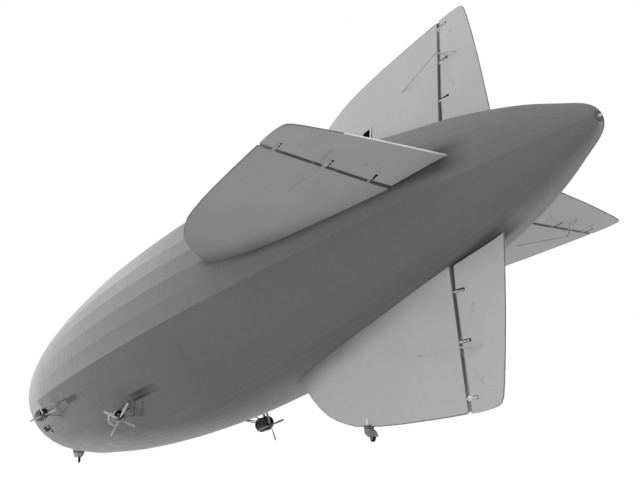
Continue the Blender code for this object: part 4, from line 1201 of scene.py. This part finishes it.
def build_arm(tail, degrees, rear, number, radius):
    """One hinge arm on the fin, and the black lining of its slot on the surface, as painted shade."""
    surface = TAILS[tail][0]
    # places are distances behind the rear spar; corners stay a millimetre or two inside the cloth
    wide = ARM_SHARE * min(cloth_out("fin_" + tail, degrees, rear + 0.02, radius + d, 1)
                           for d in (-0.01, 0.01))
    skin = [cloth_out(surface, degrees, rear - back, radius + 0.03, 1) for back in (0.060, 0.110, 0.150)]
    arm = both_ways([(rear - 0.0015, wide), (rear - 0.050, min(wide * ARM_SHARE, skin[0] - 0.001)),
                     (rear - 0.125, min(0.050, skin[1] - 0.002))])
    add_piece(f"arm_{tail}_{number}", plates_mesh([(arm, radius - ARM_HALF, radius + ARM_HALF)], degrees),
              metals["pale_painted_duralumin"], "hull")
    wall = both_ways([(rear - 0.062, skin[0] - 0.002), (rear - 0.154, skin[2] - 0.001)])
    end = both_ways([(rear - 0.1515, skin[2] - 0.001), (rear - 0.1535, skin[2] - 0.001)])
    near, far = SLOT_WALL
    lining = [(wall, radius - far, radius - near), (wall, radius + near, radius + far),
              (end, radius - near - 0.0005, radius + near + 0.0005)]
    add_piece(f"slot_lining_{tail}_{number}", plates_mesh(lining, degrees, 0.0),
              metals["black_lining_painted_shade"], surface, smooth=False)


for tail, (rear, radii) in ARMS.items():
    degrees = TURNS[tail][0]
    for number, radius in enumerate(radii):
        build_arm(tail, degrees, rear, number, radius)
    strip = both_ways([(rear - 0.001, STRIP_HALF), (rear - STRIP_BACK, STRIP_HALF)])
    add_piece(f"gap_strip_{tail}", plates_mesh([(strip, radii[-1] + 0.02, STRIP_TIP)], degrees),
              TAILS[tail][1], "hull")
print("hinge arms:", 3 * len(ARMS))

# %% [markdown]
# ## Access opening in the dorsal fin
# A four-sided opening at the fin's root leads out onto the hull. The solid has the hole, but
# its walls would be as pale as the fin. A thin black lining hides them: painted shade, so the
# eye gets a deep dark opening with a sharp lip.

# %% Dorsal opening: lining
OPENING = [(3.064, 1.326), (3.050, 1.273), (2.917, 1.189), (2.936, 1.334)]    # station, height
RIM = [(3.072, 1.331), (3.058, 1.268), (2.910, 1.182), (2.931, 1.341)]
FACE_AT, FACE_OUT = (2.9, 1.3), 0.1354    # station and height, and how far out the cloth is there
FACE_AHEAD, FACE_UP = 0.059, 0.135   # metres further out for each metre ahead, less far for each up
FLOOR_OUT = 0.0885                   # how far out the opening's floor lies
LIP = 0.0012                         # how far the lining stands out of the cloth


def fin_face(station, height):
    """The dorsal fin's port face: it stands further out ahead, and less far out higher up."""
    return FACE_OUT + FACE_AHEAD * (station - FACE_AT[0]) - FACE_UP * (height - FACE_AT[1])


def build_recess():
    """A thin black lining, painted shade, on the walls, the floor and the lip of the opening."""
    bm = bmesh.new()
    middle = np.mean(OPENING, axis=0)
    rings = []
    for outline, grow, lift in ((RIM, 0.0, 0.0), (RIM, 0.0, LIP), (OPENING, -0.003, LIP),
                                (OPENING, -0.003, None), (OPENING, -0.001, None), (OPENING, -0.001, 0.0)):
        ring = []
        for s, z in outline:
            ds, dz = s - middle[0], z - middle[1]
            k = 1 + grow / math.hypot(ds, dz)
            y = FLOOR_OUT if lift is None else fin_face(s, z) + lift
            ring.append(bm.verts.new((middle[0] + ds * k - ORIGIN_STATION, y, middle[1] + dz * k)))
        rings.append(ring)
    loft(bm, rings, closed=True)
    floor_plate = []
    for lift in (0.0002, 0.0022):
        floor_plate.append([bm.verts.new((s - ORIGIN_STATION, FLOOR_OUT + lift, z)) for s, z in OPENING])
        bm.faces.new(floor_plate[-1])
    loft(bm, floor_plate)
    return bm


add_piece("opening_lining", build_recess(), metals["black_lining_painted_shade"], "hull",
          smooth=False)
print("opening lined,", round(fin_face(3.0, 1.28) - FLOOR_OUT, 3), "m deep")

# %% [markdown]
# ## Frame and painted shadow of the opening
# A frame stands at the opening's rear edge; it is white as a painted highlight along that edge.
# A grey plate beside it is painted shadow, the shadow of the raised frame on the cloth. Both
# bend with the fin's face. A box would dig into the cloth at one end, so each is a strip of rows
# that follow the face.

# %% Dorsal opening: frame and painted shadow
FRAME_LOW, FRAME_HIGH, FRAME_LEAN = 1.172, 1.343, 0.131    # heights, lean ahead for each metre up
FRAME_WIDE, FRAME_THICK = 0.015, 0.004
SHADOW_PLATE_AHEAD, SHADOW_PLATE_WIDE, SHADOW_PLATE_THICK = 0.017, 0.022, 0.002
UNDER_CLOTH = -0.001


def strip_mesh(rows, thick):
    """A plate on the dorsal fin's port face, from rows of station and height pairs."""
    bm = bmesh.new()
    low, high = [[[bm.verts.new((s - ORIGIN_STATION, fin_face(s, z) + lift, z)) for s, z in row]
                  for row in rows] for lift in (UNDER_CLOTH, thick)]
    for side in (low, high):
        for first, second in zip(side[:-1], side[1:]):
            bm.faces.new((first[0], first[1], second[1], second[0]))
    for first, second in zip(range(len(rows) - 1), range(1, len(rows))):
        for end in (0, 1):
            bm.faces.new((low[first][end], low[second][end], high[second][end], high[first][end]))
    for row in (0, -1):
        bm.faces.new((low[row][0], low[row][1], high[row][1], high[row][0]))
    return bm


def upright_rows(ahead, width):
    """Rows of a strip that leans like the opening's rear edge."""
    rows = []
    for z in np.linspace(FRAME_LOW, FRAME_HIGH, 5):
        edge = RIM[2][0] + FRAME_LEAN * (z - RIM[2][1]) - ahead
        rows.append(((edge - width, z), (edge, z)))
    return rows


add_piece("opening_frame", strip_mesh(upright_rows(0.0, FRAME_WIDE), FRAME_THICK),
          metals["white_tape_painted_highlight"], "hull")
add_piece("opening_shadow_plate", strip_mesh(upright_rows(SHADOW_PLATE_AHEAD, SHADOW_PLATE_WIDE), SHADOW_PLATE_THICK),
          metals["grey_painted_tube"], "hull")
print("frame and wear plate:", FRAME_WIDE, "and", SHADOW_PLATE_WIDE, "m wide")

# %% [markdown]
# ## Engine cars from inside
# The cooling air leaves each car round the propeller shaft, so one looks into the car from
# behind. Inside it is black: painted shade, as little light gets into the car. A dished plate
# above the shaft turns the air. The solid's inner wall could take a dark finish, but then its
# outside would be dark too. So the black is a lining, a turned shell just inside the wall.

# %% Car linings
LINING = [(0.052, 0.0680), (0.095, 0.0945), (0.160, 0.1135), (0.270, 0.1225), (0.400, 0.1135),
          (0.530, 0.0775)]               # ahead of the hub, radius
LINING_THICK = (0.001, 0.0015)           # along and across
CAR_AXIS = [(0.050, 0.072), (0.095, 0.060), (0.160, 0.046), (0.270, 0.036), (0.380, 0.031),
            (0.480, 0.030)]              # ahead of the hub, height of the car's middle over the shaft
BAFFLE = [(0.090, 0.041), (0.084, 0.034), (0.083, 0.012), (0.086, 0.012), (0.093, 0.041)]
BAFFLE_RISE = 0.067
CARS = [("aft_port", 8.80, 1.437, -1.727), ("aft_starboard", 8.80, -1.437, -1.727),    # hub: station, Y, Z
        ("forward_port", 13.60, 2.075, -1.327), ("forward_starboard", 13.60, -2.075, -1.327)]


def turned_shell(centre, rows, sides, closed=True):
    """A shell turned about the X axis, from rows of ahead, radius and rise."""
    bm = bmesh.new()
    rings = [[bm.verts.new(centre + Vector((ahead, radius * math.cos(a), rise + radius * math.sin(a))))
              for a in circle(sides)] for ahead, radius, rise in rows]
    loft(bm, rings, closed)
    return bm


def lining_rows():
    """The lining's rows: out along its outer face and back along its inner one."""
    aheads, rises = zip(*CAR_AXIS)
    rows = LINING + [(a - LINING_THICK[0], r - LINING_THICK[1]) for a, r in LINING[::-1]]
    return [(a, r, float(np.interp(a, aheads, rises))) for a, r in rows]


for name, station, y, z in CARS:
    hub = Vector((station - ORIGIN_STATION, y, z))
    add_piece(f"lining_{name}", turned_shell(hub, lining_rows(), 32), metals["black_lining_painted_shade"],
              "hull")
    add_piece(f"baffle_{name}", turned_shell(hub, [(a, r, BAFFLE_RISE) for a, r in BAFFLE], 28),
              metals["grey_painted_tube"], "hull")
print("linings:", len(CARS))

# %% [markdown]
# ## Cooling gap seals
# A ring of black rubber closes the edge of each car's rear opening, round the propeller
# shaft. It hides the cut edge of the sheet, so that with the lining the opening reads as one
# black disc of painted shade. A torus would be too plump for it, so its own section is turned.

# %% Seals
SEAL = [(0.0505, 0.0665), (0.0465, 0.0680), (0.0455, 0.0740), (0.0465, 0.0800), (0.0520, 0.0815),
        (0.0515, 0.0790)]                # ahead of the hub, radius
for name, station, y, z in CARS:
    centre = Vector((station - ORIGIN_STATION, y, z + CAR_AXIS[0][1]))
    add_piece(f"seal_{name}", turned_shell(centre, [(a, r, 0.0) for a, r in SEAL], 40),
              metals["moulded_rubber"], "hull")
print("seals:", len(CARS))

# %% [markdown]
# ## Propeller blades
# Each car drives a four-bladed pusher propeller, carved from laminated wood, of 6.1 m on the
# real ship. A blade is a stack of sections that grow flatter and less steep towards the tip.
# The solid blade has six-sided sections; a subdivision would shrink its tip, so this one is
# built from rounded sections, and stands in its place.

# %% Propeller blades
# Radius, chord, thickness, angle from the disc in degrees
BLADE = [(0.016, 0.026, 0.018, 60.0), (0.045, 0.030, 0.015, 50.0), (0.080, 0.035, 0.012, 41.0),
         (0.120, 0.040, 0.010, 34.0), (0.170, 0.043, 0.008, 28.0), (0.220, 0.043, 0.0065, 23.5),
         (0.260, 0.041, 0.0055, 20.5), (0.284, 0.035, 0.0045, 19.0), (0.297, 0.026, 0.0035, 18.5),
         (0.3035, 0.013, 0.0025, 18.0)]
PHASES = {"aft_port": 22.0, "aft_starboard": -22.0, "forward_port": -28.0, "forward_starboard": 28.0}
FULL_FACE, FLAT_FACE = 0.5, 0.28     # shares of the thickness on the two faces


def blade_section(row, count=16):
    """An aerofoil of one blade: rounded in front, thin behind, flatter on one face."""
    radius, chord, thick, degrees = row
    a = math.radians(degrees)
    along = Vector((math.sin(a), math.cos(a), 0))
    across = Vector((math.cos(a), -math.sin(a), 0))
    points = []
    for t in circle(count):
        u, v = -0.5 * math.cos(t), math.sin(t) * (FULL_FACE if math.sin(t) > 0 else FLAT_FACE)
        v *= 1.15 - 0.5 * (u + 0.5)
        points.append(along * u * chord + across * v * thick + Vector((0, 0, radius)))
    return points


def build_blades(hub, phase):
    """Four blades as closed shells that meet inside the boss."""
    bm = bmesh.new()
    for quarter in range(4):
        turn = Matrix.Rotation(math.radians(phase - 90 + 90 * quarter), 3, "X")
        rings = [[bm.verts.new(hub + turn @ p) for p in blade_section(row)] for row in BLADE]
        loft(bm, rings)
        bm.faces.new(rings[0])
        bm.faces.new(rings[-1])
    return bm


print("propellers of", round(2 * BLADE[-1][0], 2), "m, blades of", len(BLADE), "sections")

# %% [markdown]
# ## Bosses
# A boss of painted steel holds the four blades and ends in a point behind them. It could be
# one mesh with the blades, but it is another material, so it is a piece of its own: a turned
# shell with a fan of faces at its tip.

# %% Bosses
BOSS_TIP = -0.055
BOSS = [(-0.0545, 0.005), (-0.050, 0.013), (-0.042, 0.021), (-0.030, 0.026), (-0.010, 0.030),
        (0.010, 0.0295), (0.022, 0.0285), (0.024, 0.0265), (0.024, 0.0132)]    # ahead of the hub, radius


def build_boss(hub, sides=28):
    """The pointed cap and the sleeve that hold the blades."""
    bm = turned_shell(hub, [(ahead, radius, 0.0) for ahead, radius in BOSS], sides, closed=False)
    bm.verts.ensure_lookup_table()
    first = bm.verts[:sides]
    tip = bm.verts.new(hub + Vector((BOSS_TIP, 0, 0)))
    for i in range(sides):
        bm.faces.new((tip, first[(i + 1) % sides], first[i]))
    return bm


for name, station, y, z in CARS:
    hub = Vector((station - ORIGIN_STATION, y, z))
    body = "propeller_" + name
    # the starboard propellers take the darker wood as painted shade
    wood = metals["shaded_laminated_wood" if "starboard" in name else "varnished_laminated_wood"]
    piece = add_piece("wooden_" + body, build_blades(hub, PHASES[name]), wood, body)
    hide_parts(body)
    add_piece("boss_" + body, build_boss(hub), metals["dull_painted_steel"], body)
print("propellers:", len(CARS))

# %% [markdown]
# ## Jackstays by the cars
# Thin lines run over the cloth beside each car: grips for the climb down to the engine, with
# a hand rail at the aft cars. A straight tube would cut through the curved hull, so each span
# is cut in eight and every point lies a few millimetres off the cloth.

# %% Jackstays
STAYS = {
    # finish, radius, stations and degrees along the line; drawn coarse, so that they show
    "aft_0": ("oiled_steel", 0.0028, [(9.42, -57.3), (8.75, -49.5)]),
    "aft_1": ("oiled_steel", 0.0028, [(9.08, -59.1), (8.43, -51.0)]),
    "aft_2": ("white_painted_rope", 0.0024, [(9.84, -57.2), (9.43, -57.9), (8.95, -60.7)]),
    "forward_0": ("oiled_steel", 0.0042, [(14.14, -38.1), (13.36, -35.7), (12.85, -34.0)]),
    "forward_1": ("oiled_steel", 0.0030, [(13.66, -38.1), (12.72, -35.3)]),
    "forward_2": ("white_painted_rope", 0.0020, [(15.64, -31.9), (14.26, -33.1)]),
    "forward_3": ("white_painted_rope", 0.0020, [(15.90, -32.9), (14.69, -34.2)]),
}
STAY_OFF, STAY_SPAN = 0.0035, 8
HAND_RAIL = [(9.40, -51.5, 0.085), (8.93, -50.4, 0.095)]    # station, degrees, distance from the cloth
HAND_RAIL_R = 0.010


def stay_points(path, starboard):
    """Points just off the cloth along a path, eight to a span."""
    points = []
    for (s0, a0), (s1, a1) in zip(path[:-1], path[1:]):
        points += [(s0 + (s1 - s0) * k / STAY_SPAN, a0 + (a1 - a0) * k / STAY_SPAN) for k in range(STAY_SPAN)]
    points.append(path[-1])
    return [on_hull(s, on_side(a, starboard), STAY_OFF) for s, a in points]


for side_name in ("port", "starboard"):
    starboard = side_name == "starboard"
    for label, (finish, thick, path) in STAYS.items():
        add_piece(f"jackstay_{side_name}_{label}", tube_mesh(stay_points(path, starboard), thick, sides=6),
                  metals[finish], "hull")
    ends = [on_hull(s, on_side(a, starboard), proud) for s, a, proud in HAND_RAIL]
    add_piece(f"hand_rail_{side_name}", tube_mesh(ends, HAND_RAIL_R), metals["oiled_steel"], "hull")
print("jackstays:", 2 * len(STAYS))

# %% [markdown]
# ## Tail wheel fork
# The solid fork has plain cheeks down to the axle. The real one is folded from sheet and
# guards the wheel from above and behind, so only the lower half of the tyre shows, round a
# pale hub. Its curved guard could be cut from a thick block; it is built from flat outlines
# carried across the ship, as the sheet was cut and folded, and turns with the fork.

# %% Tail wheel fork: outlines
GUARD = [(3.386, -2.1665), (3.288, -2.1665), (3.236, -2.200), (3.212, -2.236), (3.212, -2.252),
         (3.316, -2.252), (3.345, -2.236), (3.378, -2.205)]    # station, height
AXLE = (3.267, -2.260)
CHEEKS = ((-0.033, -0.0245), (0.0245, 0.033))
SHEET, INWARD = 0.003, 0.05          # the sheet's thickness, and how far the point lies that it grows to
LUG_R, AXLE_R = 0.0095, 0.0045


def carry(bm, outline, low, high):
    """An outline of stations and heights, carried across the ship between two distances."""
    sides = [[bm.verts.new((s - ORIGIN_STATION, y, z)) for s, z in outline] for y in (low, high)]
    bm.faces.new(sides[0])
    bm.faces.new(sides[1][::-1])
    loft(bm, sides[::-1])


def round_axle(radius, count):
    """A circle of stations and heights round the wheel's axle."""
    return [(AXLE[0] + radius * math.cos(a), AXLE[1] + radius * math.sin(a)) for a in circle(count)]


def inset_strip(path, thick):
    """A thin closed outline along a path, grown towards a point ahead of the axle and above it."""
    inner = []
    for s, z in path[::-1]:
        ds, dz = AXLE[0] + INWARD - s, AXLE[1] + INWARD - z
        k = thick / math.hypot(ds, dz)
        inner.append((s + ds * k, z + dz * k))
    return path + inner


print("cheeks:", len(CHEEKS), "of", len(GUARD), "corners")

# %% [markdown]
# ## Building the fork
# Two cheeks, two lugs, the folded guard between them, the axle and the pivot sleeve are
# separate shells in one mesh. They could be joined by a boolean, but a welded fork has just
# such overlaps, and simple closed shells stay clean.

# %% Tail wheel fork
GUARD_HALF, AXLE_HALF = 0.025, 0.030
PIVOT = 3.335                        # station of the swivel's axis
SLEEVE = [(0.0125, -2.1670), (0.0240, -2.1670), (0.0240, -2.1940), (0.0125, -2.1940)]    # radius, height


def build_fork(sides=24):
    """Two cheeks, the folded guard between them, the pivot sleeve and the axle."""
    bm = bmesh.new()
    for low, high in CHEEKS:
        carry(bm, GUARD, low, high)
        carry(bm, round_axle(LUG_R, 16), low, high)
    carry(bm, inset_strip(GUARD[1:5], SHEET), -GUARD_HALF, GUARD_HALF)
    carry(bm, inset_strip([GUARD[0], GUARD[7], GUARD[6]], SHEET), -GUARD_HALF, GUARD_HALF)
    carry(bm, round_axle(AXLE_R, 12), -AXLE_HALF, AXLE_HALF)
    rings = [[bm.verts.new((PIVOT - ORIGIN_STATION + r * math.cos(a), r * math.sin(a), z))
              for a in circle(sides)] for r, z in SLEEVE]
    loft(bm, rings, closed=True)
    return bm


fork = add_piece("tail_wheel_guard", build_fork(), metals["grey_painted_tube"], "tail_fork",
                 smooth=False)
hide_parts("tail_wheel_fork")
print("tail fork faces:", len(fork.data.polygons))

# %% [markdown]
# ## Rib over the tail wheel
# A rib of the ventral fin carries the wheel's leg, and a white cover shows on the cloth over
# it; its white is a painted highlight along the rib. Paint on the cloth would do from far off,
# but the cover stands a little proud, so it is a plate that passes through the fin.

# %% Rib cover
RIB_COVER = [(3.3225, -2.1300), (3.3475, -2.1300), (3.3460, -2.0580), (3.3240, -2.0580)]    # station, height
RIB_HALF = 0.0300
rib = bmesh.new()
carry(rib, RIB_COVER, -RIB_HALF, RIB_HALF)
add_piece("tail_rib_cover", rib, metals["white_tape_painted_highlight"], "hull", smooth=False)
print("rib cover:", round(RIB_COVER[2][1] - RIB_COVER[1][1], 3), "m high")
